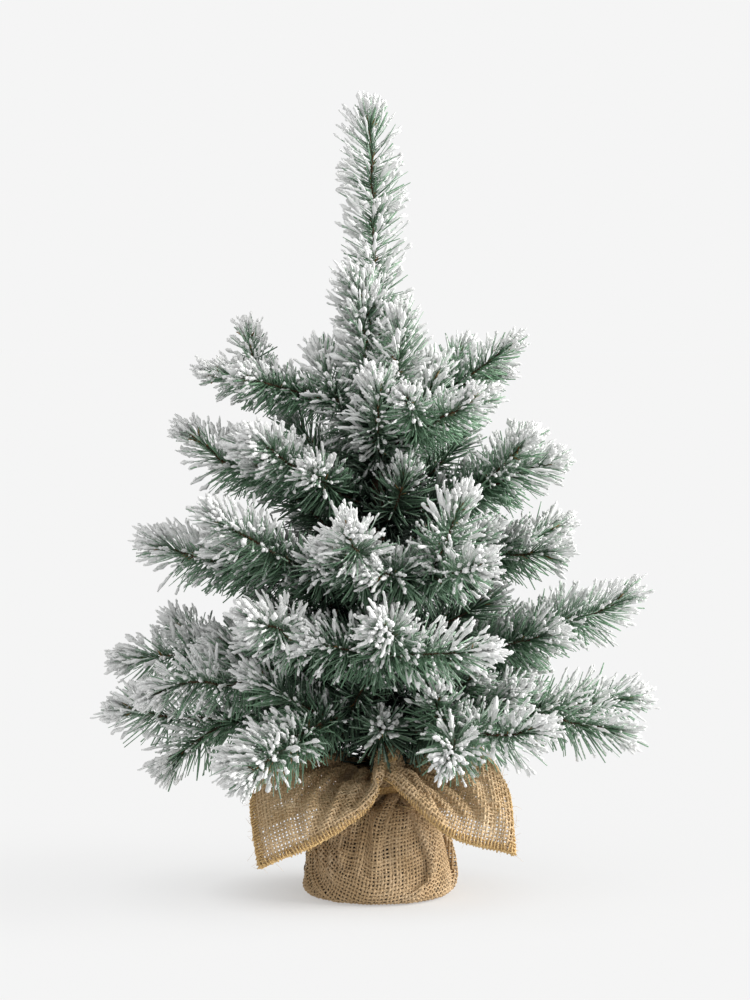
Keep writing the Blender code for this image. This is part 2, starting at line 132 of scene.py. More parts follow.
# Stems. Each stops short of where the needles at its tip end.
STEM_STEP = 0.0015
STEM_RADIUS = 0.00115
SHOOT_STEM_RADIUS = 0.00095
STEM_SIDES = 8
STEM_TWIST_PITCH = 0.0052
STEM_WAVES = ((0.0016, 0.075), (0.0008, 0.034))
STEM_SHORT_OF_TIP = 0.020
LEADER_SHORT_OF_TIP = 0.015
LEADER_SHOOT_SHORT_OF_TIP = 0.010

# Needles. A lean is the angle between a needle and its stem, in degrees.
NEEDLE_LENGTH = (0.023, 0.031)
NEEDLE_WIDTH = (0.0012, 0.0017)
NEEDLE_THICKNESS = 0.0004
NEEDLE_STATIONS = np.array([0.0, 0.5, 1.0])
NEEDLE_OUTLINE = np.array([0.75, 1.0, 0.7])
NEEDLE_DROOP = 0.03
NEEDLE_START = 0.008
SHOOT_NEEDLE_START = 0.004
NEEDLES_PER_METRE = 2600
TIP_NEEDLES = 26
TIP_SPAN = 0.006
TIP_LEAN = 22
SIDE_LEAN = 64
GOLDEN_TURN = 2.39996

# How much flock a needle catches for where it is. The left and front shares are painted light from the
# front-left: flock added where that light falls.
FLOCK_OUTSIDE = 0.24
FLOCK_ON_TOP = 0.21
FLOCK_AT_TIP = 0.36
FLOCK_AS_LEFT_LIGHT = 0.04
FLOCK_AS_FRONT_LIGHT = 0.08
FLOCK_SPREAD = 0.17

# Fingers of flock on the needles' ends, from the amount caught that starts one.
FINGER_FROM = 0.36
FINGER_STEPS = np.array([0.0, 0.22, 0.48, 0.72, 0.90, 1.0])
FINGER_OUTLINE = np.array([0.34, 0.78, 0.98, 1.0, 0.86, 0.36])
FINGER_SIZE = (0.00072, 0.00130)
CLUB_SIDES = 5

# Ochre strips at the tips, and brown bits along the stems.
TIP_BUDS = 9
BUD_THICKNESS = 0.0005

# The needles bound in round the trunk.
GARLAND_PER_METRE = 7000
TRUNK_SKIN = 0.005

# Short shoots that leave the trunk itself and hide it: azimuth, foot as a share of the crown's height, slope
# in degrees, and length.
TRUNK_SHOOTS = [
    (-88, 0.045, 8, 0.080),
    (-112, 0.555, 74, 0.078),
    (-62, 0.530, 66, 0.070),
    (-90, 0.470, 44, 0.070),
    (-150, 0.500, 52, 0.066),
    (-25, 0.480, 52, 0.066),
    (60, 0.520, 60, 0.066),
    (120, 0.500, 52, 0.066),
    (-70, 0.360, 36, 0.065),
    (-160, 0.330, 34, 0.078),
    (20, 0.400, 36, 0.075),
    (90, 0.420, 38, 0.070),
    (160, 0.420, 36, 0.072),
    (-100, 0.250, 30, 0.060),
    (-140, 0.210, 26, 0.070),
    (55, 0.300, 30, 0.075),
    (125, 0.300, 30, 0.075),
    (-85, 0.120, 22, 0.060),
    (-40, 0.090, 14, 0.085),
    (0, 0.180, 22, 0.080),
    (180, 0.180, 22, 0.080),
    (90, 0.160, 22, 0.080),
    (-150, 0.040, 5, 0.070),
    (-30, 0.040, 5, 0.070),
    (30, 0.040, 5, 0.070),
    (90, 0.040, 5, 0.070),
    (150, 0.040, 5, 0.070),
]


# Small helpers

def smooth(value):
    """A smooth step from 0 to 1."""
    value = np.clip(value, 0, 1)
    return value * value * (3 - 2 * value)


def unit(vectors):
    """The vectors at length one."""
    return vectors / np.maximum(np.linalg.norm(vectors, axis=-1, keepdims=True), 1e-12)


def line_length(line):
    """The sum of the line's steps."""
    return np.linalg.norm(np.diff(line, axis=0), axis=1).sum()


def distances(points):
    """How far along the line each point is."""
    return np.concatenate([[0], np.cumsum(np.linalg.norm(np.diff(points, axis=0), axis=1))])


def around(count):
    """Angles round a circle."""
    return np.arange(count) * math.tau / count


def circle(angles, side, other):
    """Unit offsets round each point of a line, in the plane of its two sideways directions."""
    return np.cos(angles)[..., None] * side[..., None, :] + np.sin(angles)[..., None] * other[..., None, :]


def quadratic(start, control, end, steps):
    """A curve from the start to the end that leaves towards the control point."""
    shares = np.linspace(0, 1, steps)[:, None]
    return start * (1 - shares) ** 2 + 2 * control * shares * (1 - shares) + end * shares**2


def mesh_piece(name, points, quads, triangles, finish, flock=None):
    """A mesh object from arrays. flock is one number a point."""
    mesh = bpy.data.meshes.new(name)
    quads = np.asarray(quads, np.int32).reshape(-1, 4)
    triangles = np.asarray(triangles, np.int32).reshape(-1, 3)
    mesh.vertices.add(len(points))
    mesh.vertices.foreach_set("co", np.asarray(points, np.float32).ravel())
    corners = np.concatenate([quads.ravel(), triangles.ravel()])
    mesh.loops.add(len(corners))
    mesh.loops.foreach_set("vertex_index", corners)
    starts = np.concatenate([np.arange(len(quads)) * 4, len(quads) * 4 + np.arange(len(triangles)) * 3])
    mesh.polygons.add(len(starts))
    mesh.polygons.foreach_set("loop_start", starts.astype(np.int32))
    mesh.materials.append(finish)
    mesh.update(calc_edges=True)
    if flock is not None:
        values = mesh.attributes.new("flock", "FLOAT", "POINT")
        values.data.foreach_set("value", np.asarray(flock, np.float32))
    mesh.shade_smooth()
    made = bpy.data.objects.new(name, mesh)
    bpy.context.scene.collection.objects.link(made)
    return made


def show(piece, body, slot, *cad_nodes):
    """Makes a piece ride a body, in place of the CAD nodes named. The slot is not used."""
    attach(piece, body)
    if cad_nodes:
        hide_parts(*cad_nodes)


def rods(rings):
    """Quads and end triangles for a pile of rods. rings is (rods, stations, sides, 3)."""
    count, stations, sides, _ = rings.shape
    index = np.arange(count * stations * sides).reshape(count, stations, sides)
    low, high = index[:, :-1], index[:, 1:]
    quads = np.stack([low, np.roll(low, -1, 2), np.roll(high, -1, 2), high], -1).reshape(-1, 4)
    fans = []
    for corner in range(1, sides - 1):
        fans.append(np.stack([index[:, 0, 0], index[:, 0, corner + 1], index[:, 0, corner]], -1))
        fans.append(np.stack([index[:, -1, 0], index[:, -1, corner], index[:, -1, corner + 1]], -1))
    return quads, np.concatenate(fans)


class Pile:
    """Points and faces of many small bodies that become one piece."""

    def __init__(self):
        self.points, self.quads, self.triangles, self.flock = [], [], [], []
        self.count = 0

    def add(self, rings, flock=0.0):
        quads, triangles = rods(rings)
        self.points.append(rings.reshape(-1, 3))
        self.quads.append(quads + self.count)
        self.triangles.append(triangles + self.count)
        self.flock.append(np.broadcast_to(flock, rings.shape[:3]).ravel())
        self.count += rings.shape[0] * rings.shape[1] * rings.shape[2]

    def piece(self, name, finish):
        parts = (self.points, self.quads, self.triangles)
        return mesh_piece(name, *map(np.concatenate, parts), finish, np.concatenate(self.flock))


# The piles that the stems of one branch, or the trunk, fill.
Piles = namedtuple("Piles", "stems green white buds")


# Materials

# Above this height the crown is too thin to shade itself, so the painted shade of Paint.depth opens over the
# span.
OPEN_FROM = 0.28
OPEN_SPAN = 0.12


class Paint:
    """A material and the nodes that make it. A value is a socket or plain numbers."""

    def __init__(self, name, roughness, specular=0.5, metallic=0.0):
        self.made = bpy.data.materials.new(name)
        self.made.use_nodes = True
        self.tree = self.made.node_tree
        self.shader = self.tree.nodes["Principled BSDF"]
        settings = {"Roughness": roughness, "Specular IOR Level": specular, "Metallic": metallic}
        self.feed(self.shader, settings)

    def feed(self, node, values):
        for key, value in values.items():
            if isinstance(value, bpy.types.NodeSocket):
                self.tree.links.new(value, node.inputs[key])
            else:
                node.inputs[key].default_value = value

    def node(self, kind, values, operation=None):
        made = self.tree.nodes.new(kind)
        if operation:
            made.operation = operation
        self.feed(made, values)
        return made

    def place(self):
        """Object coordinates, in metres."""
        return self.node("ShaderNodeTexCoord", {}).outputs["Object"]

    def maths(self, operation, first, second):
        """The result of one operation on two values."""
        return self.node("ShaderNodeMath", {0: first, 1: second}, operation).outputs[0]

    def spread(self, value, low, high, first, last):
        """The value moved from the range low to high into the range first to last."""
        values = {"Value": value, "From Min": low, "From Max": high, "To Min": first, "To Max": last}
        return self.node("ShaderNodeMapRange", values).outputs["Result"]

    def noise(self, scale, detail=2.0, roughness=0.5):
        values = {"Vector": self.place(), "Scale": scale, "Detail": detail, "Roughness": roughness}
        return self.node("ShaderNodeTexNoise", values).outputs["Fac"]

    def ramp(self, value, stops):
        """The value's colour on a ramp of (position, colour) stops."""
        made = self.node("ShaderNodeValToRGB", {"Fac": value})
        steps = made.color_ramp.elements
        while len(steps) < len(stops):
            steps.new(0.5)
        for step, (place, colour) in zip(steps, stops):
            step.position = place
            step.color = (*colour, 1)
        return made.outputs["Color"]

    def mix(self, factor, first, second):
        """Two colours mixed."""
        made = self.node("ShaderNodeMix", {})
        made.data_type = "RGBA"
        colours = {socket.name: key for key, socket in enumerate(made.inputs) if socket.type == "RGBA"}
        values = [(*value, 1) if isinstance(value, tuple) else value for value in (first, second)]
        self.feed(made, {"Factor": factor, colours["A"]: values[0], colours["B"]: values[1]})
        return [socket for socket in made.outputs if socket.type == "RGBA"][0]

    def from_axis(self):
        """The distance from the tree's upright axis."""
        flat = self.node("ShaderNodeVectorMath", {0: self.place(), 1: (1, 1, 0)}, "MULTIPLY")
        return self.node("ShaderNodeVectorMath", {0: flat.outputs["Vector"]}, "LENGTH").outputs["Value"]

    def depth(self, near, far, least):
        """A painted-shade factor that darkens the middle of the crown and the sack: it falls from 1 at the
        far distance from the axis to the least at the near one, and opens above OPEN_FROM.
        """
        height = self.node("ShaderNodeSeparateXYZ", {"Vector": self.place()}).outputs["Z"]
        opened = self.spread(height, OPEN_FROM, OPEN_FROM + OPEN_SPAN, 0.0, OPEN_SPAN)
        return self.spread(self.maths("ADD", self.from_axis(), opened), near, far, least, 1.0)

    def colour(self, value):
        self.feed(self.shader, {"Base Color": value})

    def bump(self, height, strength, distance):
        made = self.node("ShaderNodeBump", {"Height": height, "Strength": strength, "Distance": distance})
        self.feed(self.shader, {"Normal": made.outputs["Normal"]})


def needle_material():
    """Dark green PVC strips with white flock caught on them, more where the flock value is high, and painted
    shade that darkens them to near black towards the trunk.
    """
    paint = Paint("flocked_needles_green", 0.55, 0.35)
    stops = [(0.3, (0.062, 0.156, 0.078)), (0.55, (0.142, 0.290, 0.162)), (0.75, (0.250, 0.425, 0.265))]
    greens = paint.ramp(paint.noise(60, 1), stops)
    flock = paint.node("ShaderNodeAttribute", {})
    flock.attribute_name = "flock"
    patches = paint.noise(700, 3, 0.65)
    caught = paint.maths("ADD", flock.outputs["Fac"], patches)
    cover = paint.ramp(caught, [(0.57, (0.07, 0.07, 0.07)), (1.0, (1, 1, 1))])
    dusty = paint.mix(cover, greens, (0.64, 0.71, 0.655))
    # Painted shade: towards the tree's axis the colour goes to near-black green.
    paint.colour(paint.mix(paint.depth(0.030, 0.125, 0.03), (0.005, 0.014, 0.008), dusty))
    paint.bump(patches, 0.35, 0.0003)
    return paint.made


def flock_material():
    """Powdery artificial snow, with painted shade that darkens it towards the trunk."""
    paint = Paint("flock_white", 0.95, 0.15)
    stops = [(0.3, (0.80, 0.81, 0.805)), (0.55, (0.90, 0.905, 0.90)), (0.8, (0.95, 0.95, 0.945))]
    whites = paint.ramp(paint.noise(160, 2), stops)
    # Painted shade: towards the tree's axis the white goes to near black.
    paint.colour(paint.mix(paint.depth(0.032, 0.132, 0.16), (0.02, 0.03, 0.025), whites))
    paint.bump(paint.noise(1800, 4, 0.7), 0.8, 0.0006)
    return paint.made


def burlap_material():
    """Jute yarn, blotched and fibrous, with painted shade that darkens it a little on the sack's wall and by
    the neck.
    """
    paint = Paint("burlap_jute", 0.9, 0.15)
    fine = paint.noise(900, 4, 0.7)
    blotches = paint.maths("MULTIPLY", paint.noise(45, 3), 0.45)
    tone = paint.maths("ADD", paint.maths("MULTIPLY", fine, 0.55), blotches)
    stops = [(0.30, (0.38, 0.255, 0.128)), (0.50, (0.62, 0.445, 0.260)), (0.72, (0.88, 0.70, 0.48))]
    # Painted shade: near the axis, on the sack's wall and neck, the jute is mixed towards dark brown.
    paint.colour(paint.mix(paint.depth(0.058, 0.078, 0.72), (0.16, 0.09, 0.04), paint.ramp(tone, stops)))
    paint.bump(fine, 0.7, 0.0005)
    return paint.made


def grained_material(name, grain, stops, roughness, bump=None, metallic=0.0):
    """A material toned by one noise. grain goes to noise() and bump to Paint.bump()."""
    paint = Paint(name, roughness, metallic=metallic)
    tone = paint.noise(*grain)
    paint.colour(paint.ramp(tone, stops))
    if bump:
        paint.bump(tone, *bump)
    return paint.made


def stem_material():
    """Brown paper-like tape twisted over steel wire."""
    stops = [(0.3, (0.030, 0.014, 0.006)), (0.6, (0.085, 0.042, 0.017)), (0.8, (0.19, 0.105, 0.045))]
    return grained_material("stem_brown", (350, 3), stops, 0.75, (0.5, 0.0004))


def bud_material():
    """The short ochre strips at the tips."""
    stops = [(0.3, (0.10, 0.05, 0.012)), (0.6, (0.26, 0.15, 0.035)), (0.8, (0.42, 0.30, 0.12))]
    return grained_material("bud_ochre", (400, 2), stops, 0.7)


def thread_material():
    """Golden jute thread and twine."""
    stops = [(0.3, (0.40, 0.25, 0.09)), (0.55, (0.66, 0.45, 0.20)), (0.8, (0.86, 0.66, 0.36))]
    return grained_material("overlock_thread", (700, 3, 0.6), stops, 0.8, (0.5, 0.0004))


def cement_material():
    stops = [(0.3, (0.018, 0.016, 0.014)), (0.55, (0.040, 0.037, 0.032)), (0.8, (0.08, 0.074, 0.066))]
    return grained_material("cement_rough", (320, 5, 0.65), stops, 0.95, (0.8, 0.001))


def rod_material():
    stops = [(0.3, (0.30, 0.30, 0.31)), (0.8, (0.48, 0.48, 0.49))]
    return grained_material("steel_rod", (240, 3), stops, 0.42, (0.2, 0.0002), metallic=1.0)


# Lines of the branches

def crown_height(share):
    """The height above the floor of a share of the crown's height."""
    return CROWN_BASE + share * CROWN_HEIGHT


def tip_point(tip):
    angle = math.radians(tip.azimuth)
    reach = tip.reach * TREE_RADIUS
    return np.array([reach * math.cos(angle), reach * math.sin(angle), crown_height(tip.height)])


def even(points, step=STEM_STEP):
    """The same line with points a step apart."""
    lengths = distances(points)
    count = max(int(lengths[-1] / step), 4)
    places = np.linspace(0, lengths[-1], count + 1)
    return np.stack([np.interp(places, lengths, points[:, axis]) for axis in range(3)], 1)


def main_line(root, end, bow):
    """A line that bows up or down by a share of its length."""
    shares = np.linspace(0, 1, 41)[:, None]
    rise = 4 * bow * np.linalg.norm(end - root) * shares * (1 - shares)
    return root + (end - root) * shares + rise * UP


def shoot_line(parent, shoot):
    """A side shoot that leaves its branch along the branch's own direction."""
    step = int(shoot.start * (len(parent) - 1))
    start = parent[step]
    end = tip_point(shoot.tip)
    direction = unit(parent[step + 1] - start)
    control = start + direction * 0.35 * np.linalg.norm(end - start)
    return even(quadratic(start, control, end, 31))


def wavy(line, draw):
    """A hand-bent wire's slight waviness, nothing at its root."""
    along = np.linspace(0, line_length(line), len(line))
    wave = np.zeros_like(line)
    for size, pitch in STEM_WAVES:
        phases = draw.uniform(0, math.tau, 3)
        sizes = draw.normal(0, size, 3)
        wave += np.sin(along[:, None] * math.tau / pitch + phases) * sizes
    return line + wave * smooth(along / 0.05)[:, None]


def shortened(line, length):
    """The line without its last stretch. A tip that faces the viewer is cut back along the line of sight."""
    cut = line[: len(line) - int(length / STEM_STEP)]
    sight = unit(np.array(VIEW_POINT) - line[-1])
    facing = smooth((unit(line[-1] - line[-8]) @ sight - 0.35) / 0.45)
    shares = np.linspace(0, 1, len(cut))[:, None]
    return cut + (line[-1] - sight * length - cut[-1]) * facing * shares**2


def inner_shoots(main, draw):
    """Two short shoots near the trunk, one to each side, that fill the tree's middle."""
    lines = []
    for start, turn in ((0.16, draw.uniform(24, 46)), (0.30, -draw.uniform(24, 46))):
        step = int(start * (len(main) - 1))
        ahead = unit(main[step + 1] - main[step])
        east, north = unit(ahead[:2])
        turn = math.radians(turn)
        turned_east = east * math.cos(turn) - north * math.sin(turn)
        turned_north = east * math.sin(turn) + north * math.cos(turn)
        heading = unit(np.array([turned_east, turned_north, draw.uniform(0.15, 0.65)]))
        length = draw.uniform(0.055, 0.080)
        end = main[step] + heading * length
        lines.append(even(quadratic(main[step], main[step] + ahead * 0.3 * length, end, 21)))
    return lines


def leader_lines(draw):
    """The leader's line and its shoots' lines, each with even steps."""
    main = wavy(even(main_line(joint_place["leader"], tip_point(LEADER_TIP), 0)), draw)
    shoots = [shortened(shoot_line(main, shoot), LEADER_SHOOT_SHORT_OF_TIP) for shoot in LEADER_SHOOTS]
    return [shortened(main, LEADER_SHORT_OF_TIP)] + shoots


def branch_lines(name, draw):
    """The branch's line and its shoots' lines, each with even steps."""
    branch = BRANCHES[name]
    main = wavy(even(main_line(joint_place[name], tip_point(branch.tip), branch.bow)), draw)
    lines = [main] + [shoot_line(main, shoot) for shoot in branch.shoots]
    return [shortened(line, STEM_SHORT_OF_TIP) for line in lines] + inner_shoots(main, draw)


def frames(line):
    """Direction and two sideways directions at each point, with no twist along the line."""
    ahead = unit(np.gradient(line, axis=0))
    side = np.zeros_like(line)
    start = np.cross(ahead[0], UP)
    side[0] = unit(start if np.linalg.norm(start) > 0.1 else np.array([1.0, 0, 0]))
    for step in range(1, len(line)):
        flat = side[step - 1] - ahead[step] * np.dot(side[step - 1], ahead[step])
        side[step] = flat / np.linalg.norm(flat)
    return ahead, side, np.cross(ahead, side)


def at(values, places):
    """Linear reading of an array of vectors at fractional places."""
    low = np.clip(places.astype(int), 0, len(values) - 2)
    part = np.clip(places - low, 0, 1)[:, None]
    return values[low] * (1 - part) + values[low + 1] * part


# Stems

def stem_rings(line, radius):
    """Two wires twisted together: a two-lobed section that turns along the line."""
    _, side, other = frames(line)
    along = np.arange(len(line)) * STEM_STEP
    angles = around(STEM_SIDES)
    lobes = radius * (0.78 + 0.34 * np.cos(angles) ** 2)
    turn = along[:, None] * math.tau / STEM_TWIST_PITCH + angles
    return (line[:, None] + circle(turn, side, other) * lobes[:, None])[None]


# Needles and flock

Needles = namedtuple("Needles", "root direction forward outward lengths share curve")


def needles_on(line, start, reach, draw):
    """The needles of one stem: they spiral round it, and lean more along it towards its tip."""
    ahead, side, other = frames(line)
    run = line_length(line)
    count = int((run - start) * NEEDLES_PER_METRE)
    along = start + (run - start) * (np.arange(count) + draw.uniform(0, 1, count)) / count
    along = np.concatenate([along, run - draw.uniform(0, TIP_SPAN, int(TIP_NEEDLES * reach))])
    count = len(along)
    places = along / run * (len(line) - 1)
    angle = np.arange(count) * GOLDEN_TURN + draw.normal(0, 0.35, count)
    forward = unit(at(ahead, places))
    outward = np.cos(angle)[:, None] * at(side, places) + np.sin(angle)[:, None] * at(other, places)
    left = run - along
    lean = TIP_LEAN + (SIDE_LEAN - TIP_LEAN) * smooth(left / 0.030) + draw.normal(0, 8, count)
    lean = np.radians(lean)[:, None]
    lengths = draw.uniform(*NEEDLE_LENGTH, count) * reach * (0.80 + 0.20 * smooth(left / 0.02))
    lengths *= 0.8 + 0.2 * smooth((along - start) / 0.03)
    direction = unit(np.cos(lean) * forward + np.sin(lean) * outward)
    return Needles(at(line, places), direction, forward, outward, lengths, along / run, None)


def bend(forward, droop, draw):
    """How needles curve: a little towards the stem's tip, a little astray, and down."""
    ahead = draw.normal(0.10, 0.08, (len(forward), 1, 1))
    stray = draw.normal(0, 0.05, (len(forward), 1, 3))
    return forward[:, None] * ahead + stray - UP * droop


def along_needles(root, direction, lengths, curve, shares):
    """Points at shares of each needle's length."""
    shares = shares[..., None]
    return root[:, None] + lengths[:, None, None] * (direction[:, None] * shares + curve * shares**2)


def strips(centres, widths, thickness, roll):
    """Thin three-sided strips round the centres. widths is (needles, stations)."""
    ahead = unit(np.gradient(centres, axis=1))
    across = unit(np.cross(ahead, roll[:, None]))
    up = np.cross(ahead, across)
    left = across * (widths[..., None] / 2)
    right = left * 0.9 - up * thickness * 0.3
    return np.stack([centres + left, centres - right, centres - up * thickness], 2)


def needle_strips(root, direction, lengths, curve, draw):
    """Needles, widest at mid length."""
    count = len(root)
    centres = along_needles(root, direction, lengths, curve, NEEDLE_STATIONS)
    widths = draw.uniform(*NEEDLE_WIDTH, (count, 1)) * NEEDLE_OUTLINE
    return strips(centres, widths, NEEDLE_THICKNESS, unit(direction + draw.normal(0, 0.8, (count, 3))))


def bud_strips(root, direction, forward, lengths, width, foot, draw):
    """Short strips that narrow to half their width at the end, and at the foot to a share."""
    centres = along_needles(root, direction, lengths, bend(forward, 0.0, draw), NEEDLE_STATIONS)
    widths = draw.uniform(*width, (len(root), 1)) * np.array([foot, 1.0, 0.5])
    return strips(centres, widths, BUD_THICKNESS, unit(draw.normal(0, 1, (len(root), 3))))


def clubs(centres, radii, lump, draw):
    """Lumpy round bodies along the centres. radii is (clubs, stations)."""
    ahead = unit(np.gradient(centres, axis=1))
    guide = unit(draw.normal(0, 1, (len(centres), 1, 3)))
    across = unit(np.cross(ahead, guide))
    rough = 1 + draw.normal(0, lump, (*radii.shape, CLUB_SIDES))
    size = radii[..., None] * np.clip(rough, 0.6, 1.5)
    ring = circle(around(CLUB_SIDES), across, np.cross(ahead, across))
    return centres[:, :, None] + ring * size[..., None]


def blobs(spots, axes, size, stretch, draw):
    """Small knobbly bodies at the spots, longer along their axes. size and stretch are ranges."""
    sizes = draw.uniform(*size, len(spots))
    stretches = draw.uniform(*stretch, len(spots))
    steps = np.array([-1.0, -0.45, 0.45, 1.0])
    middle = spots[:, None] + axes[:, None] * (sizes * stretches)[:, None, None] * steps[None, :, None]
    radii = sizes[:, None] * np.array([0.45, 1.0, 1.0, 0.42]) * draw.uniform(0.78, 1.22, (len(spots), 4))
    return clubs(middle, radii, 0.18, draw)


def exposure(points, share, outward):
    """How much flock something catches: more outside, on top and at a stem's tip, and more in front and on
    the left as painted light from the front-left.
    """
    radius = np.hypot(points[:, 0], points[:, 1])
    height = np.clip((points[:, 2] - CROWN_BASE) / CROWN_HEIGHT, 0, 1)
    hull = TREE_RADIUS * (1.0 - 0.72 * height)
    outer = smooth((radius / hull - 0.30) / 0.6)
    # Painted light: the left and front terms whiten the sides that the front-left light falls on.
    left = np.clip(-points[:, 0] / TREE_RADIUS, -1, 1)
    front = np.clip(-points[:, 1] / TREE_RADIUS, -1, 1)
    on_top = FLOCK_ON_TOP * outward[:, 2] * (1 - 0.65 * share**3)
    at_tip = FLOCK_AT_TIP * share**2.5
    return FLOCK_OUTSIDE * outer + on_top + at_tip + FLOCK_AS_LEFT_LIGHT * left + FLOCK_AS_FRONT_LIGHT * front


def on_needles(needles, chosen, shares):
    """Points at shares of the chosen needles' lengths."""
    parts = (needles.root, needles.direction, needles.lengths, needles.curve)
    return along_needles(*(part[chosen] for part in parts), shares)


def add_fingers(needles, caught, draw, white):
    """Fingers of flock on the needles' ends: the more one has caught, the further its finger reaches back."""
    ends = np.flatnonzero(caught > FINGER_FROM)
    many = len(ends)
    much = np.clip((caught[ends] - FINGER_FROM) / 0.4, 0, 1)
    back = 0.14 + 0.50 * much * draw.uniform(0.6, 1.3, many)
    places = 1.03 - back[:, None] * (1 - FINGER_STEPS)
    middle = on_needles(needles, ends, places) + draw.normal(0, 0.00022, (*places.shape, 3)) + UP * 0.0002
    size = draw.uniform(*FINGER_SIZE, many) * (0.85 + 0.42 * much)
    radii = size[:, None] * FINGER_OUTLINE * draw.uniform(0.55, 1.45, places.shape)
    white.add(clubs(middle, radii, 0.32, draw))


def add_clots(needles, caught, draw, white):
    """A few clots where fingers have caught on each other, and small bits of flock along the needles."""
    clots = np.flatnonzero(caught + draw.normal(0, 0.1, len(caught)) > 0.66)
    spots = on_needles(needles, clots, draw.uniform(0.62, 0.95, (len(clots), 1)))[:, 0]
    spots = spots + draw.normal(0, 0.0005, spots.shape)
    axes = unit(needles.direction[clots] + draw.normal(0, 0.5, spots.shape))
    white.add(blobs(spots, axes, (0.0009, 0.0016), (0.9, 1.6), draw))
    bits = np.flatnonzero(caught + draw.normal(0, 0.12, len(caught)) > 0.27)
    spots = on_needles(needles, bits, draw.uniform(0.30, 0.80, (len(bits), 1)))[:, 0] + UP * 0.0003
    axes = unit(needles.direction[bits] + draw.normal(0, 0.2, spots.shape))
    white.add(blobs(spots, axes, (0.00045, 0.0008), (1.2, 2.6), draw))


def add_crumbs(line, draw, white):
    """Crumbs of flock that lie on the stem and between the needles."""
    crumbs = int(len(line) * 0.5)
    places = draw.uniform(len(line) * 0.25, len(line) - 1, crumbs)
    spots = at(line, places) + draw.normal(0, 0.0012, (crumbs, 3)) + UP * 0.0008
    caught = exposure(spots, places / len(line), np.zeros((crumbs, 3))) + draw.normal(0, 0.15, crumbs)
    spots = spots[caught > 0.38]
    size = draw.uniform(0.0005, 0.0010, (len(spots), 1))
    axes = unit(draw.normal(0, 1, (len(spots), 1, 3)))
    steps = np.array([-1.1, -0.5, 0.5, 1.1])
    middle = spots[:, None] + axes * size[:, None] * steps[None, :, None]
    white.add(clubs(middle, size * np.array([0.4, 1.0, 1.0, 0.4]), 0.2, draw))


def add_buds(line, draw, buds):
    """Short ochre strips at the tip, and brown bits along the stem."""
    ahead = np.repeat(unit(line[-1] - line[-4])[None], TIP_BUDS, 0)
    spread = unit(ahead + draw.normal(0, 0.45, (TIP_BUDS, 3)))
    lengths = draw.uniform(0.006, 0.011, TIP_BUDS)
    foot = np.repeat(line[-2][None], TIP_BUDS, 0)
    buds.add(bud_strips(foot, spread, ahead, lengths, (0.0010, 0.0016), 0.8, draw))
    bits = int(len(line) * 0.18)
    places = draw.uniform(8, len(line) - 2, bits)
    along = unit(at(np.gradient(line, axis=0), places))
    side = unit(draw.normal(0, 1, (bits, 3)) + along * 1.2)
    lengths = draw.uniform(0.003, 0.007, bits)
    buds.add(bud_strips(at(line, places), side, side, lengths, (0.0008, 0.0014), 0.9, draw))


def add_needles(line, start, leader, reach, draw, piles):
    """One stem's needles with the flock on them, and its buds. The leader is flocked evenly."""
    needles = needles_on(line, start, reach, draw)
    count = len(needles.root)
    ends = needles.root + needles.direction * needles.lengths[:, None]
    caught = exposure(ends, needles.share, needles.outward) + draw.normal(0, FLOCK_SPREAD, count)
    if leader:
        caught = 0.46 + 0.08 * needles.share - 0.08 * needles.outward[:, 0] + draw.normal(0, 0.2, count)
    needles = needles._replace(curve=bend(needles.forward, NEEDLE_DROOP, draw))
    rings = needle_strips(needles.root, needles.direction, needles.lengths, needles.curve, draw)
    flock = np.clip(caught[:, None] * np.array([0.15, 0.75, 1.25]) - 0.15, 0, 1)
    piles.green.add(rings, flock[:, :, None])
    add_fingers(needles, caught, draw, piles.white)
    add_clots(needles, caught, draw, piles.white)
    add_crumbs(line, draw, piles.white)
    add_buds(line, draw, piles.buds)


def needle_reach(line, leader):
    """A share of the needles' full length: the highest branches are slimmer than the low ones."""
    height = (line[-1, 2] - CROWN_BASE) / CROWN_HEIGHT
    return 1.0 if leader else 1.0 - 0.20 * smooth((height - 0.42) / 0.18)


def add_branch(name, materials):
    """One branch's stems, needles and flock, in place of its CAD wire and needles."""
    draw = np.random.default_rng([SEED] + [ord(letter) for letter in name])
    leader = name == "leader"
    piles = Piles(Pile(), Pile(), Pile(), Pile())
    for index, line in enumerate(leader_lines(draw) if leader else branch_lines(name, draw)):
        main = index == 0
        piles.stems.add(stem_rings(line, STEM_RADIUS if main else SHOOT_STEM_RADIUS))
        start = NEEDLE_START if main else SHOOT_NEEDLE_START
        add_needles(line, start, leader, needle_reach(line, leader), draw, piles)
    show(piles.stems.piece(f"{name}_stem", materials["stem"]), name, "brown_tape", f"{name}_wire")
    green = piles.green.piece(f"{name}_green", materials["needle"])
    show(green, name, "flocked_needles", f"{name}_needles")
    show(piles.white.piece(f"{name}_flock", materials["flock"]), name, "flocked_needles")
    show(piles.buds.piece(f"{name}_buds", materials["bud"]), name, "flocked_needles")


def add_garland(draw, green):
    """The short needles bound in round the trunk, which fill the tree's middle."""
    top = joint_place["leader"][2]
    bottom = CROWN_BASE - 0.006
    count = int((top - bottom) * GARLAND_PER_METRE)
    height = draw.uniform(bottom, top, count)
    angle = draw.uniform(0, math.tau, count)
    outward = np.stack([np.cos(angle), np.sin(angle), np.zeros(count)], 1)
    root = outward * TRUNK_SKIN + UP * height[:, None]
    direction = unit(outward + UP * draw.normal(0.35, 0.35, (count, 1)) + draw.normal(0, 0.25, (count, 3)))
    lengths = draw.uniform(0.020, 0.034, count) * (0.75 + 0.25 * smooth((top - height) / 0.03))
    rings = needle_strips(root, direction, lengths, bend(outward, 0.0, draw), draw)
    green.add(rings, draw.uniform(0, 0.35, (count, 1, 1)) * np.array([0.2, 0.6, 1.0])[None, :, None])


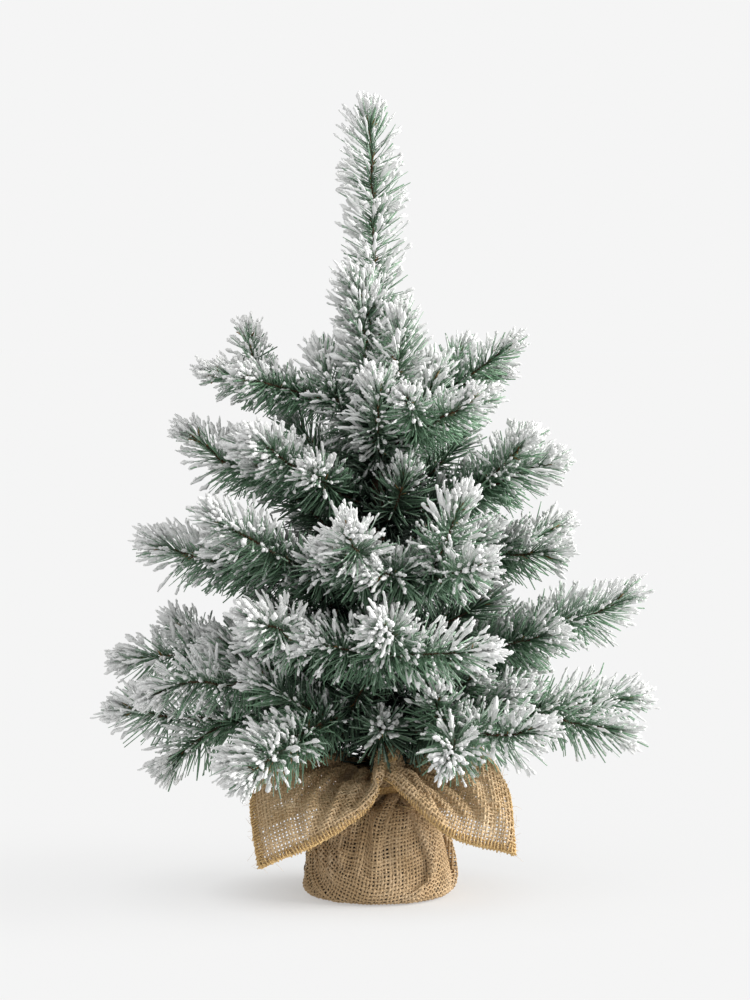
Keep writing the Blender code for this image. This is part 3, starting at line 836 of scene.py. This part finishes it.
def trunk_shoot_line(azimuth, foot, slope, length):
    """A short shoot's line from the trunk's side, which leaves level and rises to its slope."""
    turn = math.radians(azimuth)
    rise = math.radians(slope)
    flat = np.array([math.cos(turn), math.sin(turn), 0])
    start = flat * TRUNK_SKIN + UP * crown_height(foot)
    end = start + length * (flat * math.cos(rise) + UP * math.sin(rise))
    return even(quadratic(start, start + flat * length * 0.35, end, 21))


def add_trunk_green(materials):
    """The garland and the short shoots round the trunk. The highest are flocked like the leader."""
    draw = np.random.default_rng(SEED + 2)
    piles = Piles(Pile(), Pile(), Pile(), Pile())
    add_garland(draw, piles.green)
    for azimuth, foot, slope, length in TRUNK_SHOOTS:
        line = trunk_shoot_line(azimuth, foot, slope, length)
        piles.stems.add(stem_rings(line, SHOOT_STEM_RADIUS))
        add_needles(line, SHOOT_NEEDLE_START, foot > 0.45, 1.0, draw, piles)
    show(piles.green.piece("trunk_garland", materials["needle"]), "base", "flocked_needles")
    show(piles.white.piece("trunk_flock", materials["flock"]), "base", "flocked_needles")
    show(piles.buds.piece("trunk_buds", materials["bud"]), "base", "flocked_needles")
    show(piles.stems.piece("trunk_shoots", materials["stem"]), "base", "brown_tape")


# Burlap

# The block inside. The cloth lies a little off it, and its underside a little off the floor.
BLOCK_RADIUS = 0.0555
BLOCK_TAPER = 0.0110
BLOCK_BASE = 0.0015
BLOCK_TOP = 0.0695
LOWER_ROUND = 0.006
UPPER_ROUND = 0.013
CLOTH_OFF = 0.0012
UNDERSIDE = 0.0009

# The neck, where the twine goes round, and the cloth's way from the block's top to it as (radius, height).
NECK_RADIUS = 0.021
NECK_PLACE = 0.0815
NECK_BAND = 0.0045
SHOULDER = [(0.034, 0.0735), (0.025, 0.0765), (0.0155, NECK_PLACE)]

# The square sheet, and how its yarns pull back to their own length.
SHEET_SIDE = 0.440
CORNER_REACH = SHEET_SIDE / 2
SHEET_GRID = 111
RELAX_STEPS = 420
ALONG_YARN = 0.5
ACROSS_FOLD = 0.10
ON_BIAS = 0.02
EDGE_HOLD = 0.05
SHEET_HOLD = 0.004

# The weave.
YARN_PITCH = 0.0028
YARN_WIDE = 0.00190
YARN_FLAT = 0.0010

# The overlock stitch: each step's share of the pitch, distance in from the edge, and height off the cloth.
STITCH_PITCH = 0.0026
STITCH = [
    (0.0, 0.0050, 0.0013),
    (0.28, 0.0004, 0.0018),
    (0.40, -0.0015, 0.0),
    (0.52, 0.0004, -0.0018),
    (0.88, 0.0050, -0.0013),
]
STITCH_THREAD = 0.00062
EDGE_CORD = 0.00125
EDGE_CORD_STEPS = 260
FIBRES = 2600

# Where the sheet's four corners hang, and the run of its edges from each corner to where they go into the
# gathered neck. Millimetres; the front of the tree is -Y.
EDGE_RUNS = {
    "front_left_front": [
        (-86, -88, 35), (-66, -87, 42), (-41, -80, 54), (-9, -65, 75), (0, -50, 95), (8, -34, 108)
    ],
    "front_left_side": [(-86, -88, 35), (-91, -68, 57), (-93, -46, 80), (-80, -24, 94), (-50, -6, 99)],
    "front_right_front": [
        (100, -72, 42), (79, -70, 46), (58, -68, 53), (43, -64, 63),
        (27, -57, 77), (12, -46, 91), (4, -32, 104)
    ],
    "front_right_side": [(100, -72, 42), (98, -56, 61), (96, -36, 80), (83, -14, 94), (52, 4, 99)],
    "back_right_side": [(90, 88, 36), (95, 68, 58), (95, 44, 78), (82, 22, 94), (52, 4, 99)],
    "back_right_back": [(90, 88, 36), (68, 88, 44), (43, 80, 56), (14, 66, 74), (3, 48, 92), (0, 34, 106)],
    "back_left_side": [(-90, 86, 36), (-96, 64, 58), (-93, 38, 78), (-80, 14, 94), (-50, -6, 99)],
    "back_left_back": [
        (-90, 86, 36), (-68, 87, 44), (-41, 79, 56), (-14, 64, 74), (-6, 48, 92), (0, 34, 106)
    ],
}
# The hanging edge is this much shorter than its run, and the rest lies in the neck.
EDGE_TRUE = 0.88
# Each side of the square from one corner to the next, as (start run, end run).
SHEET_SIDES = [
    ("front_left_front", "front_right_front"),
    ("front_right_side", "back_right_side"),
    ("back_right_back", "back_left_back"),
    ("back_left_side", "front_left_side"),
]
# Tucks on the sack's wall: azimuth in degrees, and each one's share of the cloth to lose.
TUCKS = [(-54, 0.10), (-8, 0.16), (38, 0.20), (84, 0.20), (128, 0.18), (172, 0.14)]
# The cloth lies smooth round this azimuth, and the more gathered the further from it.
SMOOTH_SIDE = -100
SMOOTHING = 0.30
# Distances from the sheet's middle over which it goes from tucks to fine pleats.
GATHER_FROM = 0.118
GATHER_SPAN = 0.05
PLEAT_DEPTH = 0.0055


def quarter(radius, height, size, first):
    """A quarter round in (radius, height) steps, from the first angle in degrees."""
    turns = [math.radians(angle) for angle in range(first, first + 91, 15)]
    return [(radius + size * math.cos(turn), height + size * math.sin(turn)) for turn in turns]


def wall_outline():
    """The block's outline from the underside's middle to its top, as (radius, height) steps."""
    lower = quarter(BLOCK_RADIUS - LOWER_ROUND, BLOCK_BASE + LOWER_ROUND, LOWER_ROUND, -90)
    upper = quarter(BLOCK_RADIUS - BLOCK_TAPER - UPPER_ROUND, BLOCK_TOP - UPPER_ROUND, UPPER_ROUND, 0)
    return [(0.0, BLOCK_BASE)] + lower + upper


def sack_profile():
    """The cloth's profile from the underside's middle to the tie, and the distance along it to each point."""
    points = [(0.0, UNDERSIDE)]
    for radius, height in wall_outline()[1:]:
        if height < BLOCK_BASE + LOWER_ROUND * 0.3:
            points.append((radius, max(height - CLOTH_OFF, UNDERSIDE)))
        else:
            points.append((radius + CLOTH_OFF, max(height + CLOTH_OFF * 0.3, UNDERSIDE)))
    points = np.array(points + SHOULDER)
    return points, distances(points)


def edge_run(name, places):
    """Points on one edge run, a Catmull-Rom curve, for distances along the cloth from its corner."""
    points = np.array(EDGE_RUNS[name], float) / 1000
    fine = np.linspace(0, len(points) - 1, 80)
    padded = np.concatenate([2 * points[:1] - points[1:2], points, 2 * points[-1:] - points[-2:-1]])
    low = np.clip(fine.astype(int), 0, len(points) - 2)
    part = (fine - low)[:, None]
    a, b, c, d = (padded[low + shift] for shift in range(4))
    squares = (2 * a - 5 * b + 4 * c - d) * part**2
    cubes = (3 * b - a - 3 * c + d) * part**3
    curve = 0.5 * (2 * b + (c - a) * part + squares + cubes)
    run = distances(curve)
    true = EDGE_TRUE * run[-1]
    wanted = np.interp(places, [0, true, CORNER_REACH], [0, true, run[-1]])
    return np.stack([np.interp(wanted, run, curve[:, axis]) for axis in range(3)], -1)


def edge_point(angle):
    """Where the sheet's edge hangs, for directions from the sheet's middle, and how far that edge is."""
    turn = (angle + 3 * math.pi / 4) % math.tau
    side = (turn // (math.pi / 2)).astype(int) % 4
    within = turn - side * math.pi / 2 - math.pi / 4
    far = CORNER_REACH / np.cos(within)
    along = CORNER_REACH * np.tan(within)
    made = np.zeros(angle.shape + (3,))
    for index, (first, last) in enumerate(SHEET_SIDES):
        for name, chosen in ((first, (side == index) & (along <= 0)), (last, (side == index) & (along > 0))):
            made[chosen] = edge_run(name, CORNER_REACH - np.abs(along[chosen]))
    return made, far


def sack_azimuth(angle, reach, radius):
    """Where cloth at an angle lies round the sack, and how deep in a tuck: tucks take up the spare cloth."""
    spare = np.maximum(reach - radius, 0) * math.tau
    from_smooth = angle - math.radians(SMOOTH_SIDE)
    fade = 1 - smooth((reach - GATHER_FROM) / GATHER_SPAN)
    drawn = np.minimum(0.85 * (reach / np.maximum(radius, 0.001) - 1), SMOOTHING) * fade
    placed = angle + np.where(reach > BLOCK_RADIUS * 0.8, drawn, 0) * np.sin(from_smooth)
    depth = np.zeros_like(angle)
    for tuck, share in TUCKS:
        away = (angle - math.radians(tuck) + math.pi) % math.tau - math.pi
        width = np.minimum(share * spare * 0.5, 0.024) / np.maximum(radius, 0.02)
        shift = away / (0.04 + np.abs(width) * 0.35)
        placed = placed - width * shift * np.exp(-0.5 * shift**2) * 1.6
        depth += np.exp(-0.5 * (shift / 1.2) ** 2) * np.minimum(width * 20, 1)
    return placed, depth


def polar(radius, azimuth, height):
    """Points at a radius, azimuth and height round the Z axis."""
    height = np.broadcast_to(height, azimuth.shape)
    return np.stack([radius * np.cos(azimuth), radius * np.sin(azimuth), height], -1)


def flap_shape(neck, edge, angle, share):
    """The cloth above the tie: it rises from the neck, goes over and falls to the sheet's edge."""
    out = polar(1.0, angle, 0.0)
    span = np.linalg.norm(edge - neck, axis=-1, keepdims=True)
    low = neck + UP * span * 0.22 + out * span * 0.06
    high = edge + UP * span * 0.50 - out * span * 0.22
    rest = 1 - share
    flap = neck * rest**3 + 3 * low * share * rest**2 + 3 * high * share**2 * rest + edge * share**3
    return flap + UP * np.sin(angle * 23 + 2 * np.sin(angle * 3))[..., None] * 0.003 * np.exp(-share * 3)


def start_shape(grid):
    """The gathered sheet's first shape, before it relaxes."""
    flat_x, flat_y = np.meshgrid(grid, grid, indexing="ij")
    reach = np.hypot(flat_x, flat_y)
    angle = np.arctan2(flat_y, flat_x)
    profile, run = sack_profile()
    to_neck = run[-1]
    inside = reach < to_neck
    radius = np.interp(reach, run, profile[:, 0])
    height = np.interp(reach, run, profile[:, 1])
    azimuth, depth = sack_azimuth(angle, reach, radius)
    pleat = PLEAT_DEPTH * np.sin(angle * 34 + 0.8 * np.sin(angle * 5) + 3 * np.sin(angle * 2))
    radius = radius + CLOTH_OFF * depth * smooth((height - 0.006) / 0.01)
    radius = radius + np.where(inside, smooth((reach - GATHER_FROM) / GATHER_SPAN) * pleat, 0)
    edge, far = edge_point(angle)
    share = np.clip((reach - to_neck) / (far - to_neck), 0, 1)[..., None]
    neck = polar(profile[-1, 0] + pleat, azimuth, NECK_PLACE)
    shape = np.where(inside[..., None], polar(radius, azimuth, height), flap_shape(neck, edge, angle, share))
    return shape, reach, to_neck


def push_out(points):
    """Keeps the cloth off the block and the floor."""
    outline = np.array(wall_outline()[1:])
    order = np.argsort(outline[:, 1])
    height = points[..., 2]
    allowed = np.interp(height, outline[order, 1], outline[order, 0]) + CLOTH_OFF
    radius = np.hypot(points[..., 0], points[..., 1])
    within = (height > BLOCK_BASE) & (height < BLOCK_TOP) & (radius < allowed)
    lift = within & (height > BLOCK_TOP - 0.004) & (radius < 0.046)
    scale = np.where(within & ~lift, allowed / np.maximum(radius, 1e-6), 1)
    points[..., :2] *= scale[..., None]
    points[..., 2] = np.maximum(np.where(lift, BLOCK_TOP + 0.001, height), UNDERSIDE)


def pull(points, weight, first, second, rest, stiffness):
    """Moves the ends of one batch of links towards their rest length. first and second are slices."""
    a, b = points[first], points[second]
    gap = b - a
    length = np.linalg.norm(gap, axis=-1, keepdims=True)
    both = weight[first] + weight[second]
    move = gap * ((length - rest) / np.maximum(length, 1e-9) * stiffness / np.maximum(both, 1e-9))
    points[first] = a + move * weight[first]
    points[second] = b - move * weight[second]


def batches(step):
    """Slices that pair each grid point with the one a step on, in parts that share no point."""
    for offset in range(2 * step):
        starts = np.arange(offset, SHEET_GRID - step, 2 * step)
        first, last = starts[0], starts[-1] + 1
        yield slice(first, last, 2 * step), slice(first + step, last + step, 2 * step)


def pull_yarns(points, weight, gap):
    """One round of pulls: along the yarns, over each fold, and a little on the bias."""
    whole = slice(None)
    for step, stiffness in ((1, ALONG_YARN), (2, ACROSS_FOLD)):
        for first, second in batches(step):
            pull(points, weight, (first, whole), (second, whole), gap * step, stiffness)
            pull(points, weight, (whole, first), (whole, second), gap * step, stiffness)
    ahead, back = slice(1, None), slice(0, -1)
    for first, second in batches(1):
        pull(points, weight, (first, back), (second, ahead), gap * math.sqrt(2), ON_BIAS)
        pull(points, weight, (first, ahead), (second, back), gap * math.sqrt(2), ON_BIAS)


def relaxed_sheet():
    """The sheet after its yarns have pulled back to their own length round the block, tie and corners."""
    grid = np.linspace(-CORNER_REACH, CORNER_REACH, SHEET_GRID)
    points, reach, to_neck = start_shape(grid)
    start = points.copy()
    weight = np.where(reach < 0.040, 0.02, 1.0)[..., None]
    neck = np.abs(reach - to_neck) < NECK_BAND
    hold = np.full(points.shape[:2] + (1,), SHEET_HOLD)
    hold[0, :] = hold[-1, :] = hold[:, 0] = hold[:, -1] = EDGE_HOLD
    corners = np.ix_([0, -1], [0, -1])
    for _ in range(RELAX_STEPS):
        pull_yarns(points, weight, grid[1] - grid[0])
        points += (start - points) * hold
        radius = np.hypot(points[..., 0], points[..., 1])
        held = np.clip(radius, 0.0085, NECK_RADIUS) / np.maximum(radius, 1e-6)
        points[..., :2] *= np.where(neck, held, 1)[..., None]
        points[..., 2] = np.where(neck, NECK_PLACE + (reach - to_neck) * 0.7, points[..., 2])
        push_out(points)
        points[corners] = start[corners]
    return grid, points


def sheet_reader(grid, points):
    """A function that gives places and unit normals on the smooth sheet for flat coordinates."""
    gap = grid[1] - grid[0]
    along_x = np.gradient(points, gap, axis=0)
    along_y = np.gradient(points, gap, axis=1)
    normals = unit(np.cross(along_x, along_y))

    def weights(part):
        return (
            ((-part + 2) * part - 1) * part / 2,
            ((3 * part - 5) * part * part + 2) / 2,
            ((-3 * part + 4) * part + 1) * part / 2,
            (part - 1) * part * part / 2,
        )

    def read(flat_x, flat_y):
        place_x = (flat_x - grid[0]) / gap
        place_y = (flat_y - grid[0]) / gap
        low_x = np.clip(np.floor(place_x).astype(int), 0, len(grid) - 2)
        low_y = np.clip(np.floor(place_y).astype(int), 0, len(grid) - 2)
        weights_x = weights(place_x - low_x)
        weights_y = weights(place_y - low_y)
        place = 0
        normal = 0
        for step_x, weight_x in enumerate(weights_x):
            index_x = np.clip(low_x + step_x - 1, 0, len(grid) - 1)
            for step_y, weight_y in enumerate(weights_y):
                index_y = np.clip(low_y + step_y - 1, 0, len(grid) - 1)
                both = (weight_x * weight_y)[..., None]
                place = place + points[index_x, index_y] * both
                normal = normal + normals[index_x, index_y] * both
        return place, unit(normal)

    return read


def yarn_rings(read, warp, draw):
    """One direction's yarns, each a flat diamond that goes over and under the yarns that cross it."""
    count = int(SHEET_SIDE / YARN_PITCH)
    across = -CORNER_REACH + (SHEET_SIDE - (count - 1) * YARN_PITCH) / 2 + np.arange(count) * YARN_PITCH
    along = np.concatenate([[-CORNER_REACH], across, [CORNER_REACH]])
    shift = draw.normal(0, 0.00016, count)[:, None] + draw.normal(0, 0.00009, (count, len(along)))
    slow = np.cumsum(draw.normal(0, 0.00002, (count, len(along))), axis=1)
    lane = across[:, None] + shift + slow - slow.mean(axis=1, keepdims=True)
    lane = np.clip(lane, -CORNER_REACH, CORNER_REACH)
    run = np.broadcast_to(along, lane.shape)
    place, normal = read(lane, run) if warp else read(run, lane)
    index = np.arange(count)[:, None] + np.arange(-1, len(along) - 1)[None] + (0 if warp else 1)
    wave = np.where(index % 2 == 0, 1.0, -1.0) * YARN_FLAT * 0.42
    thick = np.clip(draw.normal(1, 0.10, (count, 1)) + draw.normal(0, 0.09, lane.shape), 0.7, 1.45)
    centre = place + normal * wave[..., None]
    side = unit(np.cross(unit(np.gradient(centre, axis=1)), normal))
    wide = side * (YARN_WIDE / 2) * thick[..., None]
    flat = normal * (YARN_FLAT / 2) * thick[..., None]
    return np.stack([centre + wide, centre + flat, centre - wide, centre - flat], 2)


def tube_rings(points, radius, sides=4):
    """One tube through points. radius is a number or one a point."""
    _, side, other = frames(points)
    return (points[:, None] + circle(around(sides), side, other) * np.reshape(radius, (-1, 1, 1)))[None]


def side_places(side, along, inward):
    """Flat coordinates on one side of the square, a distance in from the edge."""
    edge = np.broadcast_to(CORNER_REACH - inward, along.shape)
    return [(along, -edge), (edge, along), (along, edge), (-edge, along)][side]


def stitches(read, side, draw):
    """A slanting zigzag over one edge of the sheet, on both faces."""
    pitches = range(int(SHEET_SIDE / STITCH_PITCH))
    steps = [(pitch + step, depth, rise) for pitch in pitches for step, depth, rise in STITCH]
    along, inward, lift = np.array(steps).T
    inward = inward + draw.normal(0, 0.00055, len(inward))
    along = -CORNER_REACH + along * STITCH_PITCH + draw.normal(0, 0.0003, len(along))
    along = np.clip(along, -CORNER_REACH, CORNER_REACH)
    place, normal = read(*side_places(side, along, np.maximum(inward, 0)))
    inner, _ = read(*side_places(side, along, np.maximum(inward, 0) + 0.002))
    return place + normal * lift[:, None] + unit(place - inner) * np.maximum(-inward, 0)[:, None]


def add_overlock(read, materials, draw):
    """The stitches along the four edges, and the cord that they make on the edge."""
    threads = Pile()
    for side in range(4):
        threads.add(tube_rings(stitches(read, side, draw), STITCH_THREAD))
        along = np.linspace(-CORNER_REACH, CORNER_REACH, EDGE_CORD_STEPS)
        place, normal = read(*side_places(side, along, 0.0))
        wobble = np.sin(along / 0.0021 * math.pi)[:, None] * normal * 0.0004
        threads.add(tube_rings(place + wobble, EDGE_CORD + draw.normal(0, 0.0002, EDGE_CORD_STEPS), 6))
    made = threads.piece("burlap_overlock", materials["thread"])
    show(made, "base", "burlap")
    return made


def add_fibres(read, materials, draw):
    """Loose fibres that stand off the cloth, most of them along its edges and at the corners."""
    side = draw.integers(0, 4, FIBRES)
    along = draw.uniform(-CORNER_REACH, CORNER_REACH, FIBRES)
    inward = np.abs(draw.normal(0, 0.003, FIBRES))
    loose = draw.uniform(0, 1, FIBRES) < 0.14
    flat = np.zeros((2, FIBRES))
    for index in range(4):
        flat = np.where(side == index, side_places(index, along, inward), flat)
    flat = np.where(loose, draw.uniform(-CORNER_REACH, CORNER_REACH, (2, FIBRES)), flat)
    place, normal = read(*flat)
    heading = unit(normal * draw.choice([-1, 1], (FIBRES, 1)) * 0.7 + draw.normal(0, 0.8, (FIBRES, 3)))
    length = draw.uniform(0.0015, 0.0055, FIBRES) * draw.choice([1, 1, 1, 1.8], FIBRES)
    curl = draw.normal(0, 0.5, (FIBRES, 1, 3))
    centres = along_needles(place, heading, length, curl, np.linspace(0, 1, 4))
    widths = np.full((FIBRES, 4), 0.00022) * np.array([1.2, 1.0, 0.8, 0.4])
    rings = strips(centres, widths, 0.0001, unit(draw.normal(0, 1, (FIBRES, 3))))
    fibres = Pile()
    fibres.add(rings[centres[..., 2].min(axis=1) > 0.001])
    made = fibres.piece("burlap_fibres", materials["thread"])
    show(made, "base", "burlap")
    return made


def add_burlap(materials):
    """The woven square with its stitched edges and loose fibres."""
    draw = np.random.default_rng(SEED + 1)
    read = sheet_reader(*relaxed_sheet())
    woven = []
    for name, warp in (("burlap_warp", True), ("burlap_weft", False)):
        yarns = Pile()
        yarns.add(yarn_rings(read, warp, draw))
        woven.append(yarns.piece(name, materials["burlap"]))
    show(woven[0], "base", "burlap", "burlap_wrap", "burlap_flaps")
    show(woven[1], "base", "burlap")
    trim = [add_overlock(read, materials, draw).name, add_fibres(read, materials, draw).name]


# Core, trunk and tie

ROD_HOLE = 0.0029
TRUNK_RADII = (0.0065, 0.0045)
TAPE_PITCH = 0.008
TAPE_STEPS = 420
TWINE_RADIUS = 0.0013
TWINE_LAY = 0.005


def lathe_rings(profile, sides):
    """Rings of points round the Z axis for (radius, height) pairs, as one rod."""
    angles = around(sides)
    return np.array([polar(radius, angles, height) for radius, height in profile])[None]


def add_weight(materials):
    """The rough cast block inside the burlap, a little uneven where the mould was hand filled."""
    draw = np.random.default_rng(SEED + 3)
    profile = [(ROD_HOLE, BLOCK_TOP - 0.0003)] + wall_outline()[:0:-1] + [(ROD_HOLE, BLOCK_BASE)]
    fine = []
    for first, second in zip(profile, profile[1:]):
        count = max(int(math.dist(first, second) / 0.003), 1)
        fine += [np.array(first) + np.subtract(second, first) * step / count for step in range(count)]
    rings = lathe_rings(fine + [profile[-1]], 96)
    dents = draw.normal(0, 1, rings.shape[1:3])
    for _ in range(3):
        dents = (dents + np.roll(dents, 1, 1) + np.roll(dents, -1, 1)) / 3
    radius = np.hypot(rings[0, ..., 0], rings[0, ..., 1])
    rings[0, ..., :2] *= (1 - np.abs(dents) * 0.0006 / np.maximum(radius, 0.003))[..., None]
    pile = Pile()
    pile.add(rings)
    show(pile.piece("weight_cast", materials["cement"]), "base", "cement", "cement_weight")


def helix(radius, low, high, turns, steps, start):
    """A line that winds up round the Z axis from a starting angle."""
    angles = start + np.linspace(0, turns * math.tau, steps)
    return polar(radius, angles, np.linspace(low, high, steps))


def twisted_cord(line, radius, pile):
    """Three plies laid round a line."""
    _, side, other = frames(line)
    for ply in range(3):
        turn = distances(line) * math.tau / TWINE_LAY + ply * math.tau / 3
        centre = line + (np.cos(turn)[:, None] * side + np.sin(turn)[:, None] * other) * radius * 0.52
        pile.add(tube_rings(centre, radius * 0.55, 5))


def add_tie(materials):
    """Three turns of jute twine round the neck, with a knot and two short ends at the back."""
    pile = Pile()
    low, high = NECK_PLACE - 0.0026, NECK_PLACE + 0.0026
    twisted_cord(helix(NECK_RADIUS + 0.0017, low, high, 3, 420, 1.6), TWINE_RADIUS, pile)
    shares = np.linspace(0, 1, 60)
    back = NECK_RADIUS + 0.0035 + 0.010 * shares
    fall = NECK_PLACE + 0.001 - 0.028 * shares**1.6
    for side in (-1, 1):
        out = side * (0.001 + 0.020 * shares + 0.004 * np.sin(shares * 3))
        twisted_cord(np.stack([out, back, fall], 1), 0.0012, pile)
    angles = shares * math.tau
    loop = NECK_RADIUS + 0.0036 + 0.0018 * np.sin(2 * angles)
    knot = np.stack([0.0032 * np.cos(angles), loop, NECK_PLACE + 0.0032 * np.sin(angles)], 1)
    twisted_cord(knot, TWINE_RADIUS, pile)
    show(pile.piece("tie_twine", materials["thread"]), "base", "twine", "neck_tie")


def add_trunk(materials):
    """The bundle of wire ends under its spiral of brown tape, and the steel rod inside it."""
    top = joint_place["leader"][2] - 0.0016
    bottom = BLOCK_TOP + 0.0003
    heights = np.linspace(bottom, top, TAPE_STEPS)[:, None]
    angles = around(24)
    radius = TRUNK_RADII[0] + (TRUNK_RADII[1] - TRUNK_RADII[0]) * (heights - bottom) / (top - bottom)
    lap = (heights / TAPE_PITCH - angles / math.tau) % 1
    wires = 0.00022 * np.cos(angles * 7 + heights * 40)
    size = radius - 0.0004 + 0.0004 * lap + wires
    tape = Pile()
    tape.add(polar(size, np.broadcast_to(angles, size.shape), heights)[None])
    show(tape.piece("trunk_tape", materials["stem"]), "base", "brown_tape", "trunk_bundle")
    rod = Pile()
    rod.add(lathe_rings([(0.0024, 0.0123), (0.0025, 0.0126), (0.0025, top), (0.0022, top + 0.0003)], 24))
    show(rod.piece("trunk_rod", materials["rod"]), "base", "steel", "trunk_core")


# Stage

def add_camera():
    camera = bpy.data.objects.new("camera", bpy.data.cameras.new("camera"))
    camera.data.lens = 105.2
    camera.data.clip_end = 100
    camera.location = VIEW_POINT
    sight = Vector(LOOK_AT) - Vector(VIEW_POINT)
    camera.rotation_euler = sight.to_track_quat("-Z", "Y").to_euler()
    bpy.context.scene.collection.objects.link(camera)
    bpy.context.scene.camera = camera


def add_sun(name, energy, height, turn, angle, colour):
    """A distant light at a height in degrees, turned about the vertical from the front."""
    light = bpy.data.lights.new(name, "SUN")
    light.energy = energy
    light.color = colour
    light.angle = math.radians(angle)
    made = bpy.data.objects.new(name, light)
    made.rotation_euler = (math.radians(90 - height), 0, math.radians(turn))
    bpy.context.scene.collection.objects.link(made)


BACKDROP = 0.913
AMBIENT = 0.312
KEY = 4.7
KEY_HEIGHT = 21
KEY_TURN = 84
FILL = 1.20
FILL_HEIGHT = 50
FILL_TURN = -14
FLOOR_HALF = 60.0
# How much of the floor's tone is its own glow, by distance from the tree's middle, in metres.
FLOOR_GLOW = [(0.05, 0.42), (0.09, 0.55), (0.134, 0.76), (0.213, 0.86), (0.40, 0.92)]
FLOOR_GLOW_SPAN = 0.5


def floor_material(tone):
    """A white floor that lights itself the more the further it is from the tree, so that shadows fade out."""
    paint = Paint("floor_white", 1.0, 0.0)
    share = paint.maths("DIVIDE", paint.from_axis(), FLOOR_GLOW_SPAN)
    glow = paint.ramp(share, [(reach / FLOOR_GLOW_SPAN, (amount,) * 3) for reach, amount in FLOOR_GLOW])
    paint.colour(paint.mix(glow, (tone, tone, tone), (0.0, 0.0, 0.0)))
    strength = paint.maths("MULTIPLY", glow, BACKDROP)
    paint.feed(paint.shader, {"Emission Strength": strength, "Emission Color": (1, 1, 1, 1)})
    return paint.made


def upward(light, height):
    """What a sun gives a level floor."""
    return light * math.sin(math.radians(height)) / math.pi


def add_backdrop():
    """An even tone behind the tree, and a softer light from all round."""
    world = bpy.data.worlds.new("studio")
    bpy.context.scene.world = world
    world.use_nodes = True
    nodes, links = world.node_tree.nodes, world.node_tree.links
    seen = nodes["Background"]
    seen.inputs["Color"].default_value = (1, 1, 1, 1)
    seen.inputs["Strength"].default_value = BACKDROP
    light = nodes.new("ShaderNodeBackground")
    light.inputs["Color"].default_value = (1.0, 0.998, 0.985, 1)
    light.inputs["Strength"].default_value = AMBIENT
    path = nodes.new("ShaderNodeLightPath")
    both = nodes.new("ShaderNodeMixShader")
    links.new(path.outputs["Is Camera Ray"], both.inputs["Fac"])
    links.new(light.outputs["Background"], both.inputs[1])
    links.new(seen.outputs["Background"], both.inputs[2])
    links.new(both.outputs["Shader"], nodes["World Output"].inputs["Surface"])


def add_stage():
    """A pale floor under an even, soft studio light with its key from the right."""
    bpy.context.scene.view_settings.view_transform = "Standard"
    add_backdrop()
    lit = AMBIENT * 0.99 + upward(KEY, KEY_HEIGHT) + upward(FILL, FILL_HEIGHT)
    half = FLOOR_HALF
    corners = [(-half, -half, 0), (half, -half, 0), (half, half, 0), (-half, half, 0)]
    floor = mesh_piece("floor", corners, [(0, 1, 2, 3)], [], floor_material(BACKDROP / lit))
    floor.location.z = -0.0002
    floor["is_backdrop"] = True
    add_sun("key", KEY, KEY_HEIGHT, KEY_TURN, 40, (1.0, 0.99, 0.975))
    add_sun("fill", FILL, FILL_HEIGHT, FILL_TURN, 80, (1, 1, 1))


add_camera()
add_stage()
materials = {
    "needle": needle_material(),
    "flock": flock_material(),
    "stem": stem_material(),
    "bud": bud_material(),
    "burlap": burlap_material(),
    "thread": thread_material(),
    "cement": cement_material(),
    "rod": rod_material(),
}
add_burlap(materials)
add_weight(materials)
add_tie(materials)
add_trunk(materials)
add_trunk_green(materials)
for name in list(BRANCHES) + ["leader"]:
    add_branch(name, materials)

boxes = {"cad": cad_box, "visual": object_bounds()}
{name: [list(corner) for corner in box] for name, box in boxes.items()}
